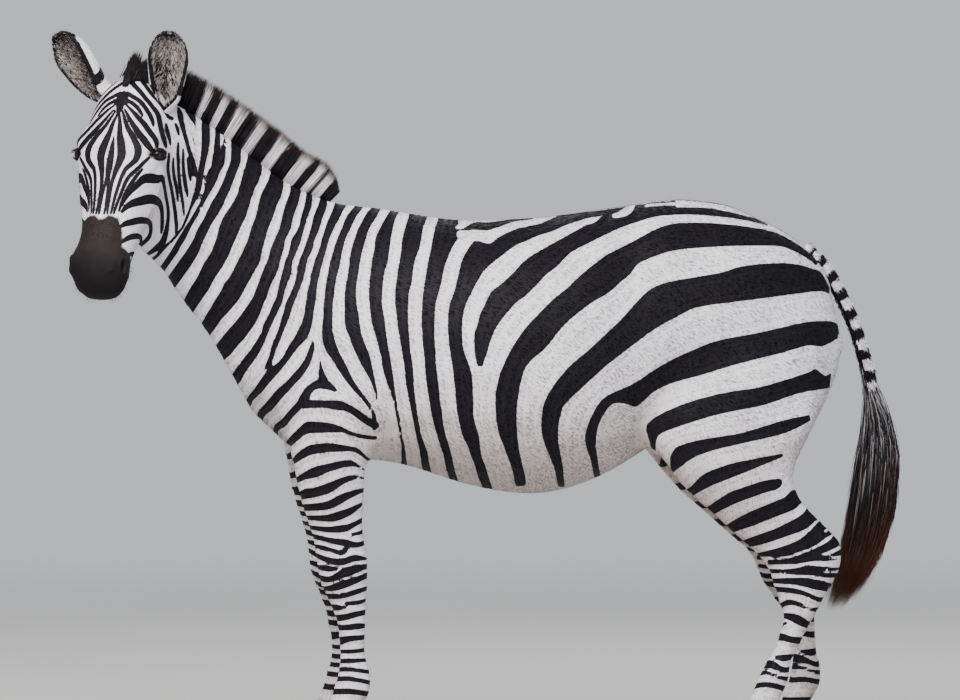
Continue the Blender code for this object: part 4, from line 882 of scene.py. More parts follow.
def keep_largest(mesh):
    """Leaves only the largest closed form of the mesh."""
    with opened(mesh) as shape:
        left = set(shape.verts)
        groups = []
        while left:
            start = left.pop()
            group, queue = {start}, [start]
            while queue:
                for e in queue.pop().link_edges:
                    fresh = left.intersection(e.verts)
                    left -= fresh
                    group |= fresh
                    queue += fresh
            groups.append(group)
        groups.sort(key=len)
        for group in groups[:-1]:
            bmesh.ops.delete(shape, geom=list(group), context="VERTS")


def stripes_need_more(mesh, allowed):
    """Points of the faces that are too coarse to carry the stripes that cross them."""
    points = points_of(mesh)
    at_points = stripes_at(points)
    at_middles = stripes_at(np.array([p.center for p in mesh.polygons]))
    wanted = np.zeros(len(points), bool)
    for face, value in zip(mesh.polygons, at_middles):
        corners = list(face.vertices)
        here = at_points[corners]
        close = min(abs(value), np.abs(here).min()) < 0.006
        if close and abs(value - here.mean()) > allowed:
            wanted[corners] = True
    return wanted


def from_eye(points):
    """Offsets from the nearer eye in the head's frame, as on the left, and the side of each."""
    local = to_head(points)
    side = np.where(local[:, 1] < 0, -1.0, 1.0)
    local[:, 1] *= side
    return local - EYE_PLACE, side


def moved_from_eye(offset, side, distance, wanted):
    """The points of such offsets, set at the wanted distances from the eye."""
    local = EYE_PLACE + offset * (wanted / np.maximum(distance, 1e-6))[:, None]
    local[:, 1] *= side
    return from_head(local)


def near_eye(points, reach):
    return np.linalg.norm(from_eye(points)[0], axis=1) < reach


def eye_axes():
    """The eye's own axes in the head's frame: along its opening, up its opening, outwards."""
    look = unit(EYE_LOOK)
    right = HEAD_AXES @ VIEW_RIGHT
    outer = unit(right - look * (right @ look))
    return outer, np.cross(look, outer), look


def almond(u, v):
    """Below 1 inside the opening between the lids."""
    length, above, below = EYE_OPENING
    height = np.where(v > 0, above, below)
    return np.abs(u / length) ** 2.0 + np.abs(v / height) ** 1.6


def cover_eyes(points):
    """Draws the skin out over the eyeballs, before the lids are opened in it."""
    offset, side = from_eye(points)
    distance = np.linalg.norm(offset, axis=1)
    missing = np.clip(EYE_RADIUS + LID_THICKNESS + 0.0012 - distance, 0, None)
    over = smoothstep(-0.012, 0.002, offset @ eye_axes()[2]) * missing
    return moved_from_eye(offset, side, distance, distance + over)


def carve_lids(points):
    """Opens the skin between the lids and lays them against the eyeball."""
    offset, side = from_eye(points)
    distance = np.linalg.norm(offset, axis=1)
    u, v, w = (offset @ axis for axis in eye_axes())
    opening = almond(u, v)
    lid = EYE_RADIUS + LID_THICKNESS + LID_RIM * hump(opening, 1.25, 0.5)
    funnel = smoothstep(1.1, 4.0, opening)
    outside = np.maximum(lid + (distance - lid) * funnel, lid)
    within = np.minimum(distance, EYE_RADIUS - 0.0030)
    wanted = within + (outside - within) * smoothstep(0.93, 1.07, opening)
    # a soft trough around the lids, deepest over the upper one
    trough = hump(distance, 0.0275, 0.0035) * (0.0012 + 0.0014 * (v > 0))
    wanted = wanted - trough * smoothstep(1.2, 2.0, opening)
    close = (distance < 0.045) & (w > -0.004)
    return moved_from_eye(offset, side, distance, np.where(close, wanted, distance))


# Named forms of the face, in the head's frame: centre, reach and height outwards.
FACE_FORMS = (
    ("brow", (0.176, 0.098, -0.012), (0.030, 0.022, 0.012), 0.0030),
    ("fold over the brow", (0.160, 0.090, 0.002), (0.024, 0.020, 0.005), -0.0016),
    ("tear trough", (0.225, 0.090, -0.050), (0.018, 0.020, 0.008), -0.0020),
    ("nasal bone", (0.330, 0.020, 0.004), (0.090, 0.014, 0.030), 0.0014),
    ("side of the nasal bone", (0.330, 0.046, -0.016), (0.080, 0.012, 0.012), -0.0022),
    ("cheek crest", (0.290, 0.080, -0.088), (0.060, 0.030, 0.007), 0.0026),
    ("cheek vein", (0.330, 0.070, -0.108), (0.045, 0.030, 0.004), 0.0010),
    ("nostril wing", (0.478, 0.060, -0.020), (0.022, 0.020, 0.010), 0.0034),
    ("nostril floor", (0.497, 0.058, -0.056), (0.016, 0.020, 0.010), 0.0026),
    ("upper lip", (0.520, 0.030, -0.078), (0.022, 0.034, 0.010), 0.0026),
    ("lower lip", (0.512, 0.022, -0.114), (0.020, 0.030, 0.009), 0.0026),
    ("chin", (0.476, 0.000, -0.146), (0.020, 0.026, 0.014), 0.0030),
    ("corner of the mouth", (0.428, 0.052, -0.098), (0.012, 0.020, 0.010), -0.0018),
    ("jowl edge", (0.150, 0.070, -0.215), (0.060, 0.040, 0.014), 0.0022),
)
# Grooves: points along, aside and above in the head's frame; for the nostril, half widths too
MOUTH_LINE = ((0.420, 0.066, -0.094), (0.450, 0.066, -0.096), (0.480, 0.064, -0.096),
              (0.508, 0.052, -0.096), (0.528, 0.030, -0.098), (0.536, 0.000, -0.100))
NOSTRIL = ((0.462, 0.068, -0.018, 0.0012), (0.474, 0.066, -0.026, 0.0034),
           (0.486, 0.064, -0.036, 0.0052), (0.496, 0.058, -0.044, 0.0040))


def hump(value, middle, width):
    """1 in the middle, falling away smoothly to both sides."""
    return np.exp(-(((value - middle) / width) ** 2))


def rise_of(forms, local):
    """How far named forms, each a centre, a reach and a height, lift the points."""
    rise = np.zeros(len(local))
    for centre, reach, height in forms:
        rise += height * np.exp(-(((local - centre) / reach) ** 2).sum(axis=1))
    return rise


def shape_face(points, normals):
    """Forms the face, its mouth line and nostrils; returns how far points lie in a nostril."""
    local = to_left_face(points)
    rise = rise_of([form[1:] for form in FACE_FORMS], local)
    mouth = to_segments(local, np.array(MOUTH_LINE))
    rise += -0.0050 * hump(mouth, 0, 0.0026) + 0.0012 * hump(mouth, 0.007, 0.004)
    nostril = np.array(NOSTRIL)
    gap = to_segments(local, nostril[:, :3], nostril[:, 3])
    rise += -0.013 * smoothstep(0.0030, -0.0030, gap) + 0.0022 * hump(gap, 0.0045, 0.0030)
    on_head = smoothstep(-0.01, 0.03, ahead_of_cut(points))
    return points + normals * (rise * on_head)[:, None], smoothstep(0.0035, -0.002, gap) * on_head


# Folds and hollows of the body: centre from the middle plane, reach, height outwards
BODY_FORMS = (
    ((-0.655, 0.085, 1.335), (0.020, 0.06, 0.10), -0.0030),  # groove behind the cheek
    ((-0.560, 0.095, 1.150), (0.10, 0.05, 0.018), -0.0026),  # groove of the throat
    ((-0.405, 0.200, 0.985), (0.016, 0.10, 0.14), -0.0030),  # front edge of the shoulder
    ((-0.250, 0.240, 1.020), (0.014, 0.10, 0.14), -0.0022),  # behind the shoulder blade
    ((-0.225, 0.190, 0.800), (0.016, 0.10, 0.06), -0.0040),  # fold behind the elbow
    ((0.345, 0.200, 0.760), (0.020, 0.10, 0.07), -0.0040),  # flank fold
    ((0.655, 0.190, 0.900), (0.016, 0.10, 0.20), -0.0024),  # groove of the thigh
    ((0.740, 0.130, 0.520), (0.030, 0.05, 0.10), -0.0030),  # hollow before the hamstring
)
RIBS = ((0.02, 0.26, 0.90), (0.17, 0.12, 0.16), 0.0007)  # where they show, faintly
RIB_SPACING = 0.055


def shape_body(points, normals):
    local = points - SHIFT
    local[:, 1] = np.abs(local[:, 1])
    ribs = np.sin(local[:, 0] * 2 * math.pi / RIB_SPACING + local[:, 2] * 3)
    rise = rise_of(BODY_FORMS, local) + ribs * rise_of([RIBS], local)
    return points + normals * rise[:, None]


def coat_depth(points):
    """How deep the skin lies under the tips of the coat: less on the legs and the face."""
    face = smoothstep(0.10, 0.35, to_head(points)[:, 0]) * (ahead_of_cut(points) > 0.02)
    thin = smoothstep(0.55, 0.30, points[:, 2]) + face
    return COAT_DEPTH * (1 - 0.5 * np.clip(thin, 0, 1))


def refined_skin(mesh):
    """Evens the first skin and divides it where stripes, muzzle, feet and lids need it."""
    evened(mesh, 36)
    divided(mesh, ahead_of_cut(points_of(mesh)) > -0.01)
    feet = points_of(mesh)[:, 2] < 0.30
    divided(mesh, stripes_need_more(mesh, 0.00135) | feet)
    evened(mesh, 6)
    points = points_of(mesh)
    trunk = (ahead_of_cut(points) < -0.03) & (points[:, 2] > 0.70)
    divided(mesh, stripes_need_more(mesh, 0.0026) & trunk)
    points = points_of(mesh)
    muzzle = to_head(points)[:, 0] > 0.40
    divided(mesh, (stripes_need_more(mesh, 0.0007) | muzzle) & (ahead_of_cut(points) > -0.03))
    evened(mesh, 5, smoothstep(-0.02, 0.02, ahead_of_cut(points_of(mesh))))
    for reach in (0.037, 0.031):
        set_points(mesh, cover_eyes(points_of(mesh)))
        divided(mesh, near_eye(points_of(mesh), reach))
        evened(mesh, 3, near_eye(points_of(mesh), 0.05).astype(float))
    mesh.update()


def make_skin():
    joined = joined_flesh()
    mesh = joined.data
    mesh.name = "skin"
    refined_skin(mesh)
    points, normals = points_of(mesh), normals_of(mesh)
    points = shape_body(points - normals * coat_depth(points)[:, None], normals)
    points, bare = shape_face(points, normals)
    points = carve_lids(points)
    set_points(mesh, points)
    shade_smooth(mesh)
    coronet = smoothstep(0.112, 0.080, points[:, 2])
    lips = 0.85 * smoothstep(0.42, 0.51, to_head(points)[:, 0])
    lips *= smoothstep(0.02, 0.06, ahead_of_cut(points))
    keep_values(
        mesh, stripe=stripes_at(points), soil=soil_at(points, normals_of(mesh)),
        muzzle=np.maximum.reduce([below_muzzle_edge(points), bare, coronet]),
        bare=np.maximum.reduce([bare, lips, lid_edge(points)]), ragged=raggedness(points),
    )
    skin = put("skin", mesh, "coat", *FLESH)
    bpy.data.objects.remove(joined)
    return skin


def raggedness(points):
    """How uneven the stripes' edges are: least on the face."""
    legs = smoothstep(0.80, 0.50, points[:, 2])
    return np.where(ahead_of_cut(points) > 0, 0.30, 1.0 - 0.45 * legs)


def lid_edge(points):
    """The bare dark rims of the lids and the inner corner of the eye."""
    offset, _ = from_eye(points)
    u, v, w = (offset @ axis for axis in eye_axes())
    distance = np.linalg.norm(offset, axis=1)
    ring = smoothstep(3.0, 1.9, almond(u, v)) * (distance < 0.034)
    corner = hump(u, -0.026, 0.009) * hump(v, -0.002, 0.005) * (distance < 0.045)
    return np.clip(ring + corner, 0, 1) * (w > -0.006)


def soil_at(points, normals):
    """Where the white runs to grey-brown on the belly and the insides of the legs: dust together
    with painted shade on the skin that faces down or inwards.
    """
    under = smoothstep(0.1, -0.8, normals[:, 2]) * smoothstep(1.05, 0.75, points[:, 2])
    inner = (np.sign(points[:, 1] - SHIFT[1]) * -normals[:, 1] > 0.3) & (points[:, 2] < 0.7)
    return np.clip(0.7 * under + 0.45 * inner, 0, 1)


# ---------------------------------------------------------------- hair
def turn_round(across, up):
    """Share of a full turn, from 0 to 1."""
    return np.arctan2(across, up) / (2 * math.pi) + 0.5


def lay_flat_map(points):
    """The skin's own unwrap: the trunk and neck, the head and each leg in a tile of its own."""
    local = to_head(points)
    x, y, z = points[:, 0] - SHIFT[0], points[:, 1] - SHIFT[1], points[:, 2]
    turn = turn_round(points[:, 1] - middle_y(points), z - 0.95)
    uv = np.column_stack([0.02 + 0.96 * (x + 0.95) / 1.95, 0.52 + 0.46 * turn])
    face = ahead_of_cut(points) > 0
    turn = turn_round(local[:, 1], -local[:, 2] - 0.11)
    on_face = np.column_stack([0.02 + 0.46 * (local[:, 0] + 0.05) / 0.65, 0.02 + 0.46 * turn])
    uv[face] = on_face[face]
    leg = (z < LEG_TOP) & ~face
    for k, (fore, side) in enumerate(((True, -1), (True, 1), (False, -1), (False, 1))):
        here = leg & ((x < MID_LENGTH) == fore) & (np.sign(y) == side)
        turn = turn_round(y - side * 0.10, x - (-0.31 if fore else 0.70))
        tile = np.column_stack([0.52 + 0.46 * z / 0.62, 0.02 + 0.12 * k + 0.11 * turn])
        uv[here] = tile[here]
    return np.clip(uv, 0.0, 0.997)


def lock_faces(stations):
    """The triangles of one lock: three points at each station but the last, its tip."""
    faces = [(0, 2, 1)]
    for first in range(0, 3 * (stations - 2), 3):
        for k in range(3):
            a, b = first + k, first + (k + 1) % 3
            faces += [(a, b, b + 3), (a, b + 3, a + 3)]
    last = 3 * (stations - 2)
    faces += [(last + k, last + (k + 1) % 3, last + 3) for k in range(3)]
    return np.array(faces)


def make_locks(name, slot, spines, normals, widths, values, replaced=(), flat=0.35):
    """Tapering locks of three sides along their spines, joined as one piece.

    Spines are locks by stations by three; the last station is the tip. A value is given
    for each lock, or for each of its stations.
    """
    count, stations = spines.shape[:2]
    run = np.gradient(spines, axis=1)
    across = unit(np.cross(run, normals[:, None, :]))
    stand = unit(np.cross(across, run))
    half = widths[:, None, None] / 2 * (np.linspace(1, 0, stations) ** 0.6)[None, :, None]
    rings = [
        spines + across * half * a + stand * half * (b * flat * 2)
        for a, b in ((1.0, -0.5), (-1.0, -0.5), (0.0, 1.0))
    ]
    body = np.stack(rings, axis=2)[:, :-1].reshape(count, -1, 3)
    points = np.concatenate([body, spines[:, -1:]], axis=1)
    per = points.shape[1]
    whole = (lock_faces(stations)[None] + (np.arange(count) * per)[:, None, None]).reshape(-1, 3)
    mesh = bpy.data.meshes.new(name)
    mesh.vertices.add(count * per)
    mesh.vertices.foreach_set("co", points.reshape(-1).astype(np.float32))
    mesh.loops.add(len(whole) * 3)
    mesh.loops.foreach_set("vertex_index", whole.reshape(-1).astype(np.int32))
    mesh.polygons.add(len(whole))
    mesh.polygons.foreach_set("loop_start", np.arange(0, len(whole) * 3, 3, dtype=np.int32))
    mesh.update(calc_edges=True)
    shade_smooth(mesh)
    # each lock has a small patch of its own where its root lies on the unwrap
    station = np.append(np.repeat(np.arange(stations - 1), 3), stations - 1) / (stations - 1)
    corner = np.append(np.tile((0.0, 1.0, 0.5), stations - 1), 0.5)
    patch = np.column_stack([station, corner]) * 0.003
    uv = lay_flat_map(spines[:, 0])[:, None] + patch[None]
    layer = mesh.uv_layers.new(name="OFBake")
    of_corners = uv.reshape(-1, 2)[whole.reshape(-1)].astype(np.float32)
    layer.data.foreach_set("uv", of_corners.reshape(-1))
    for key, value in values.items():
        if value.ndim == 1:
            value = np.repeat(value[:, None], stations, axis=1)
        sides = np.repeat(value[:, :-1], 3, axis=1)
        keep_value(mesh, key, np.concatenate([sides, value[:, -1:]], axis=1).reshape(-1))
    keep_value(mesh, "tip", np.tile(station, count))
    return put(name, mesh, slot, *replaced)


def spines_of(root, reach, shares, bend=0.0):
    """Spines from their roots as far as they reach, bent by the given amount at the tip."""
    return np.stack([root + reach * s + bend * s * s for s in shares], axis=1)


HALVES = (0, 0.5, 1)
THIRDS = np.linspace(0, 1, 4)


def hair_values(rng, count, stripe=-0.01, **others):
    """Values of locks: a tone drawn for each, and nought for those that aren't given."""
    values = {key: np.zeros(count) for key in SKIN_VALUES}
    values["tone"] = rng.uniform(0, 1, count)
    values["stripe"] = stripe * np.ones(count) if np.isscalar(stripe) else stripe
    return {**values, **others}


def lay_of_coat(points):
    """The way the hair lies: back and down the body, down the legs and the face."""
    way = np.array((0.85, 0.0, -0.50))
    neck = smoothstep(-0.25, -0.45, points[:, 0] - SHIFT[0])[:, None]
    legs = smoothstep(0.80, LEG_TOP, points[:, 2])[:, None]
    way = way * (1 - neck) + np.array((0.55, 0.12, -0.82)) * neck
    way = way * (1 - legs) + np.array((0.18, 0, -1.0)) * legs
    cheek = np.clip(-to_head(points)[:, 2] / 0.2, 0, 1)[:, None]
    down_face = HEAD_AXES[0] * (1 - 1.4 * cheek) - HEAD_AXES[2] * cheek
    return unit(np.where(ahead_of_cut(points)[:, None] > 0, down_face, way))


def coat_parts(p):
    """Name, seed, number of tufts, their length and width, and which of the points it covers."""
    face = ahead_of_cut(p) > 0
    leg = p[:, 2] < LEG_TOP
    body, x, side = ~face & ~leg, p[:, 0], np.sign(p[:, 1] - SHIFT[1])
    return (
        ("coat_head", 11, 36000, 0.0075, 0.0013, face),
        ("coat_neck", 12, 38000, 0.0140, 0.0021, body & (x < NECK_END)),
        ("coat_left", 13, 46000, 0.0140, 0.0023, body & (x >= NECK_END) & (side == -1)),
        ("coat_right", 14, 46000, 0.0140, 0.0023, body & (x >= NECK_END) & (side == 1)),
        ("coat_forelegs", 15, 27000, 0.0090, 0.0016, ~face & leg & (x < MID_LENGTH)),
        ("coat_hindlegs", 16, 29000, 0.0090, 0.0016, leg & (x >= MID_LENGTH)),
    )


TUFT_SHARES = np.array((0.0, 0.25, 0.5, 1.0))


def marks_along(root, reach):
    """Stripe values along tufts, and how far each may run before it bridges an edge."""
    places = root[:, None] + reach[:, None] * TUFT_SHARES[:, None]
    marks = stripes_at(places.reshape(-1, 3)).reshape(-1, 4)
    last = np.full(len(root), 3)
    for k in (2, 1):
        bridging = np.abs(marks[:, k] - (marks[:, 0] + marks[:, k + 1]) / 2) > 0.0010
        last = np.where(bridging, k, last)
    return marks, last


def make_coat(skin):
    """Short tufts all over the skin, in the lie of the coat, with the skin's own markings."""
    mesh = skin.data
    mesh.calc_loop_triangles()
    corners = np.empty(len(mesh.loop_triangles) * 3, np.int32)
    mesh.loop_triangles.foreach_get("vertices", corners)
    corners = corners.reshape(-1, 3)
    points, normals = points_of(mesh), normals_of(mesh)
    a, b, c = (points[corners[:, k]] for k in range(3))
    area = np.linalg.norm(np.cross(b - a, c - a), axis=1) / 2
    centre = (a + b + c) / 3
    kept = {key: value_of(mesh, key) for key in SKIN_VALUES}
    bare = kept["bare"][corners].mean(axis=1) >= 0.15
    made = []
    for name, seed, count, length, width, covered in coat_parts(centre):
        rng = np.random.default_rng(seed)
        weight = area * covered * ~bare
        if name == "coat_head":
            weight = weight * (1 - 0.75 * smoothstep(0.40, 0.47, to_head(centre)[:, 0]))
        pick = corners[rng.choice(len(area), count, p=weight / weight.sum())]
        w = rng.dirichlet((1, 1, 1), count)[:, :, None]
        root = (points[pick] * w).sum(axis=1)
        normal = unit((normals[pick] * w).sum(axis=1))
        way = lay_of_coat(root) + rng.normal(0, 0.11, (count, 3))
        way = unit(way - normal * (way * normal).sum(axis=1, keepdims=True))
        long = length * rng.uniform(0.7, 1.25, count)
        if name == "coat_head":
            long = long * (1 - 0.5 * smoothstep(0.15, 0.45, to_head(root)[:, 0]))
        lift = rng.uniform(0.0003, 0.0009, count) + 0.0003
        marks, last = marks_along(root, way * long[:, None])
        long = long * TUFT_SHARES[last]
        tip = root + way * long[:, None] + normal * lift[:, None]
        values = {k: (v[pick] * w[:, :, 0]).sum(axis=1) for k, v in kept.items()}
        values["tone"] = rng.uniform(0, 1, count)
        values["stripe"] = np.column_stack([marks[:, 0], marks[np.arange(count), last]])
        widths = width * rng.uniform(0.8, 1.2, count)
        spines = np.stack([root - normal * 0.0004, tip], axis=1)
        made.append(make_locks(name, "coat", spines, normal, widths, values, flat=0.22))
    return made


# ---------------------------------------------------------------- mane
# Where the mane's white locks start and end along the crest, seen from the left, in cm
MANE_WHITES = (
    (-65.4, -64.1), (-62.1, -60.9), (-58.9, -57.3), (-54.7, -52.8), (-49.9, -47.9),
    (-44.9, -42.7), (-40.9, -39.2), (-38.4, -36.6),
)
# along the crest: share of the way to the poll, height of the hair
MANE_HEIGHTS = ((0.0, 0.028), (0.06, 0.050), (0.16, 0.074), (0.35, 0.082), (0.60, 0.082),
                (0.80, 0.076), (0.92, 0.064), (1.0, 0.040))
# the same share, and how many degrees the hair leans back from upright
MANE_LEAN = ((0, 42), (0.5, 31), (0.85, 14), (1, 28))


MANE_DEPTH = 0.012  # how deep its roots lie


def crest_line(count=200):
    """Points along the crest to the poll, and which way its hair stands."""
    rows = np.array(NECK_CREST)
    start = rows[1] + (rows[2] - rows[1]) * 0.35
    front = (from_head((0.010, 0, -0.006)) - SHIFT)[[0, 2, 1]]
    line = along(np.vstack([start, rows[2:], front]), count)[:, [0, 2, 1]] + SHIFT
    run = np.gradient(line, axis=0)
    across = unit(np.cross(run, (0, 0, 1)))
    return line, unit(np.cross(across, run)), across


def make_mane():
    rng = np.random.default_rng(21)
    line, stand, across = crest_line()
    count = 11500
    t = rng.uniform(0, 1, count)
    place = t * (len(line) - 1)
    low = np.minimum(place.astype(int), len(line) - 2)
    f = (place - low)[:, None]
    at = line[low] * (1 - f) + line[low + 1] * f
    up, side = stand[low], across[low]
    height = np.interp(t, *np.transpose(MANE_HEIGHTS)) * rng.uniform(0.82, 1.06, count)
    aside = np.clip(rng.normal(0, 0.42, count), -1, 1)
    half = 0.014 * (0.55 + 0.45 * smoothstep(0, 0.2, t))
    root = at + side * (aside * half)[:, None] - up * MANE_DEPTH
    run = unit(np.gradient(line, axis=0))[low]
    angle = np.radians(np.interp(t, *np.transpose(MANE_LEAN)))[:, None]
    back = unit(-run * (1, 1, 0))
    lean = np.array((0, 0, 1)) * np.cos(angle) + back * np.sin(angle)
    lean = unit(lean + side * (aside * 0.10)[:, None] + rng.normal(0, 0.030, (count, 3)))
    long = (height + MANE_DEPTH)[:, None]
    bend = -run * (long * rng.uniform(-0.02, 0.05, count)[:, None])
    spines = spines_of(root, lean * long, THIRDS, bend)
    seen = on_view_plane(at)[:, 0] / 100
    whites = np.array(MANE_WHITES)[:, :, None] / 100
    edge = np.maximum(whites[:, 0] - seen, seen - whites[:, 1]).min(axis=0)
    stripe = np.clip(-edge - rng.normal(0, 0.0012, count), -0.01, 0.01)
    values = hair_values(rng, count, stripe)
    width = 0.0025 * rng.uniform(0.7, 1.2, count)
    return make_locks("mane_hair", "mane", spines, side, width, values, ("mane",), flat=0.5)


def make_forelock():
    """The dark tuft that stands between the ears and falls to the forehead."""
    rng = np.random.default_rng(22)
    count = 800
    s = rng.uniform(-0.008, 0.040, count)
    forward = smoothstep(0.0, 0.04, s)
    aside = rng.normal(0, 0.006, count) * (1 - 0.5 * forward)
    root = from_head(np.column_stack([s, aside, -0.006 + 0.35 * np.clip(s, 0, 0.036)]))
    lean = unit(-HEAD_AXES[0] + HEAD_AXES[1] * 0.12 + rng.normal(0, 0.07, (count, 3)))
    long = (0.058 - 0.026 * forward) * rng.uniform(0.7, 1.1, count)
    spines = spines_of(root, lean * long[:, None], THIRDS)
    side = np.tile(HEAD_AXES[1], (count, 1))
    return make_locks("forelock", "mane", spines, side, np.full(count, 0.0024),
                      hair_values(rng, count), flat=0.5)


# ---------------------------------------------------------------- tail
TAIL_DOCK = (
    (0.745, 1.168), (0.760, 1.160), (0.790, 1.133), (0.820, 1.092), (0.846, 1.042),
    (0.868, 0.990), (0.885, 0.935), (0.899, 0.880), (0.904, 0.840),
)
DOCK_ROOT, DOCK_END = 0.0225, 0.0140  # its radii
DOCK_BARS, DOCK_BARS_FROM = 8, 0.10  # how many, and the share of its length where they start
DOCK_ROWS, DOCK_SIDES = 70, 28
# height, front, back, half thickness across
TAIL_TUFT = (
    (0.857, 0.884, 0.926, 0.017), (0.820, 0.885, 0.940, 0.024), (0.770, 0.882, 0.958, 0.032),
    (0.700, 0.870, 0.970, 0.039), (0.620, 0.858, 0.966, 0.041), (0.550, 0.848, 0.957, 0.039),
    (0.490, 0.838, 0.936, 0.033), (0.430, 0.822, 0.908, 0.025), (0.375, 0.804, 0.878, 0.017),
    (0.335, 0.794, 0.826, 0.008),
)


def make_dock():
    rows = along(TAIL_DOCK, DOCK_ROWS)
    run = np.gradient(rows, axis=0)
    points, stripe = [], []
    for i, ((x, z), (rx, rz)) in enumerate(zip(rows, run)):
        t = i / (DOCK_ROWS - 1)
        radius = DOCK_ROOT + (DOCK_END - DOCK_ROOT) * float(smoothstep(0, 0.5, t))
        radius *= 1 - 0.5 * (t > 0.985)
        out = np.array((-rz, 0, rx)) / math.hypot(rx, rz)
        for a in 2 * math.pi * np.arange(DOCK_SIDES) / DOCK_SIDES:
            reach = math.cos(a) * np.array((0, 1, 0)) + math.sin(a) * out
            points.append(np.array((x, 0, z)) + SHIFT + radius * reach)
            # bars across the back and sides, and a dark line down the inner side
            along_bars = (t - DOCK_BARS_FROM) * DOCK_BARS / 0.86
            bar = -0.0045 * math.cos(2 * math.pi * along_bars + 0.6 * math.cos(a))
            bar = bar if t > DOCK_BARS_FROM else 0.006
            inner = (math.sin(a) + 0.55) * 0.012
            ridge = (abs(math.cos(a)) - 0.22) * 0.010 if t < 0.12 and math.sin(a) > 0 else 1
            stripe.append(min(bar, inner, ridge))
    top = (DOCK_ROWS - 1) * DOCK_SIDES
    caps = [range(DOCK_SIDES - 1, -1, -1), range(top, top + DOCK_SIDES)]
    mesh = mesh_of("tail_dock_skin", points, grid_faces(DOCK_ROWS, DOCK_SIDES, True) + caps)
    face_outwards(mesh)
    keep_values(mesh, stripe=stripe, ragged=0.4)
    return put("tail_dock_skin", mesh, "coat", "tail_dock")


def make_dock_hair():
    """Short hair over the dock, lying down it."""
    rng = np.random.default_rng(31)
    dock = bpy.data.objects["tail_dock_skin"].data
    points, normals = points_of(dock), normals_of(dock)
    count, ends = 3200, 3 * DOCK_SIDES
    pick = rng.integers(ends, len(points) - ends, count)
    ahead = points[pick + DOCK_SIDES]
    way = unit(ahead - points[pick] + rng.normal(0, 0.0012, (count, 3)))
    root = points[pick] + rng.normal(0, 0.0012, (count, 3))
    low = smoothstep(len(points) * 0.55, len(points), pick)
    long = (0.010 + 0.006 * low) * rng.uniform(0.7, 1.2, count)
    normal = normals[pick]
    reach = way * long[:, None] + normal * (0.0010 + 0.0008 * low)[:, None]
    values = hair_values(rng, count, value_of(dock, "stripe")[pick])
    width = 0.0024 * rng.uniform(0.8, 1.2, count)
    spines = spines_of(root, reach, HALVES)
    return make_locks("tail_dock_hair", "coat", spines, normal, width, values)


def make_tuft():
    """Long strands that leave the dock along its lower half and hang in one brush."""
    rng = np.random.default_rng(32)
    heights, *sizes = np.array(TAIL_TUFT)[::-1].T
    dock = along(TAIL_DOCK, 60)
    count = 6600
    start = rng.beta(1.6, 1.0, count)
    place = dock[(43 + start * 16).astype(int)]
    angle = rng.uniform(0, 2 * math.pi, count)
    reach = np.sqrt(rng.uniform(0.03, 1, count))
    end_z = 0.340 + 0.40 * rng.beta(1.1, 2.6, count)
    spines, fade = [], []
    stray = rng.normal(0, 1, (3, count))
    for s in np.linspace(0, 1, 6):
        z = place[:, 1] + (end_z - place[:, 1]) * s
        front, back, half = (np.interp(z, heights, size) for size in sizes)
        spread = smoothstep(0, 0.35, s) * reach
        x = (front + back) / 2 + np.cos(angle) * spread * (back - front) / 2 * 0.97
        y = np.sin(angle) * spread * half
        # the top of each strand lies on the dock
        free = smoothstep(0.0, 0.30, s)
        x = (place[:, 0] + np.cos(angle) * 0.010) * (1 - free) + x * free
        y = np.sin(angle) * 0.010 * (1 - free) + y * free
        wave = 0.0030 * np.sin(s * (5 + stray[2]) + stray[0] * 4) * spread
        x, y = (v + wave + 0.006 * k * s * s for v, k in ((x, stray[0]), (y, stray[1])))
        spines.append(np.column_stack([x, y, z]) + SHIFT)
        fade.append(smoothstep(0.16, 0.56, s + 0.11 * stray[1]))
    # grey strands, more on the outside and at the back of the brush and fading out below its upper
    # part: painted highlight on the black hair
    chance = 0.40 + 0.40 * smoothstep(0.45, 0.90, reach) + 0.15 * np.cos(angle)
    grey = (rng.uniform(0, 1, count) < chance)[:, None] * (1 - np.stack(fade, 1))
    values = hair_values(rng, count, -0.01 + 0.0104 * grey)
    normal = np.column_stack([np.cos(angle), np.sin(angle), np.zeros(count)])
    width = 0.0026 * rng.uniform(0.6, 1.2, count)
    return make_locks("tail_hair", "hair", np.stack(spines, 1), normal, width, values,
                      ("tail_tuft",), flat=0.5)


# ---------------------------------------------------------------- ears
EAR_LENGTH = 0.172
EAR_THICKNESS = 0.0052
EAR_CUPPING = 0.9
EAR_ROWS, EAR_COLUMNS = 46, 45
# share of the ear's length, half width, and how far the leaf curls round to each side
EAR = (
    (-0.14, 0.020, 168), (0.00, 0.024, 154), (0.18, 0.031, 130), (0.36, 0.038, 116),
    (0.52, 0.042, 107), (0.66, 0.0445, 100), (0.80, 0.041, 86), (0.91, 0.031, 74),
    (0.975, 0.018, 66), (1.00, 0.007, 60),
)
EAR_STANCES = {  # side, place of its base in the head's frame, its tip's and opening's direction
    "ear_left": (1, (0.056, 0.078, -0.066), (0.06, 0.08, 1.00), (0.05, -1.00, 0.00)),
    "ear_right": (-1, (0.030, 0.071, -0.054), (-0.62, -0.05, 0.78), (-0.80, -0.60, 0.00)),
}


def ear_frame(name):
    side, base, tip, opening = EAR_STANCES[name]
    origin = from_head((base[0], side * base[1], base[2]))
    up = unit(tip)
    out = unit(np.array(opening) - up * np.dot(opening, up))
    return origin, np.array([np.cross(up, -out), out, up])


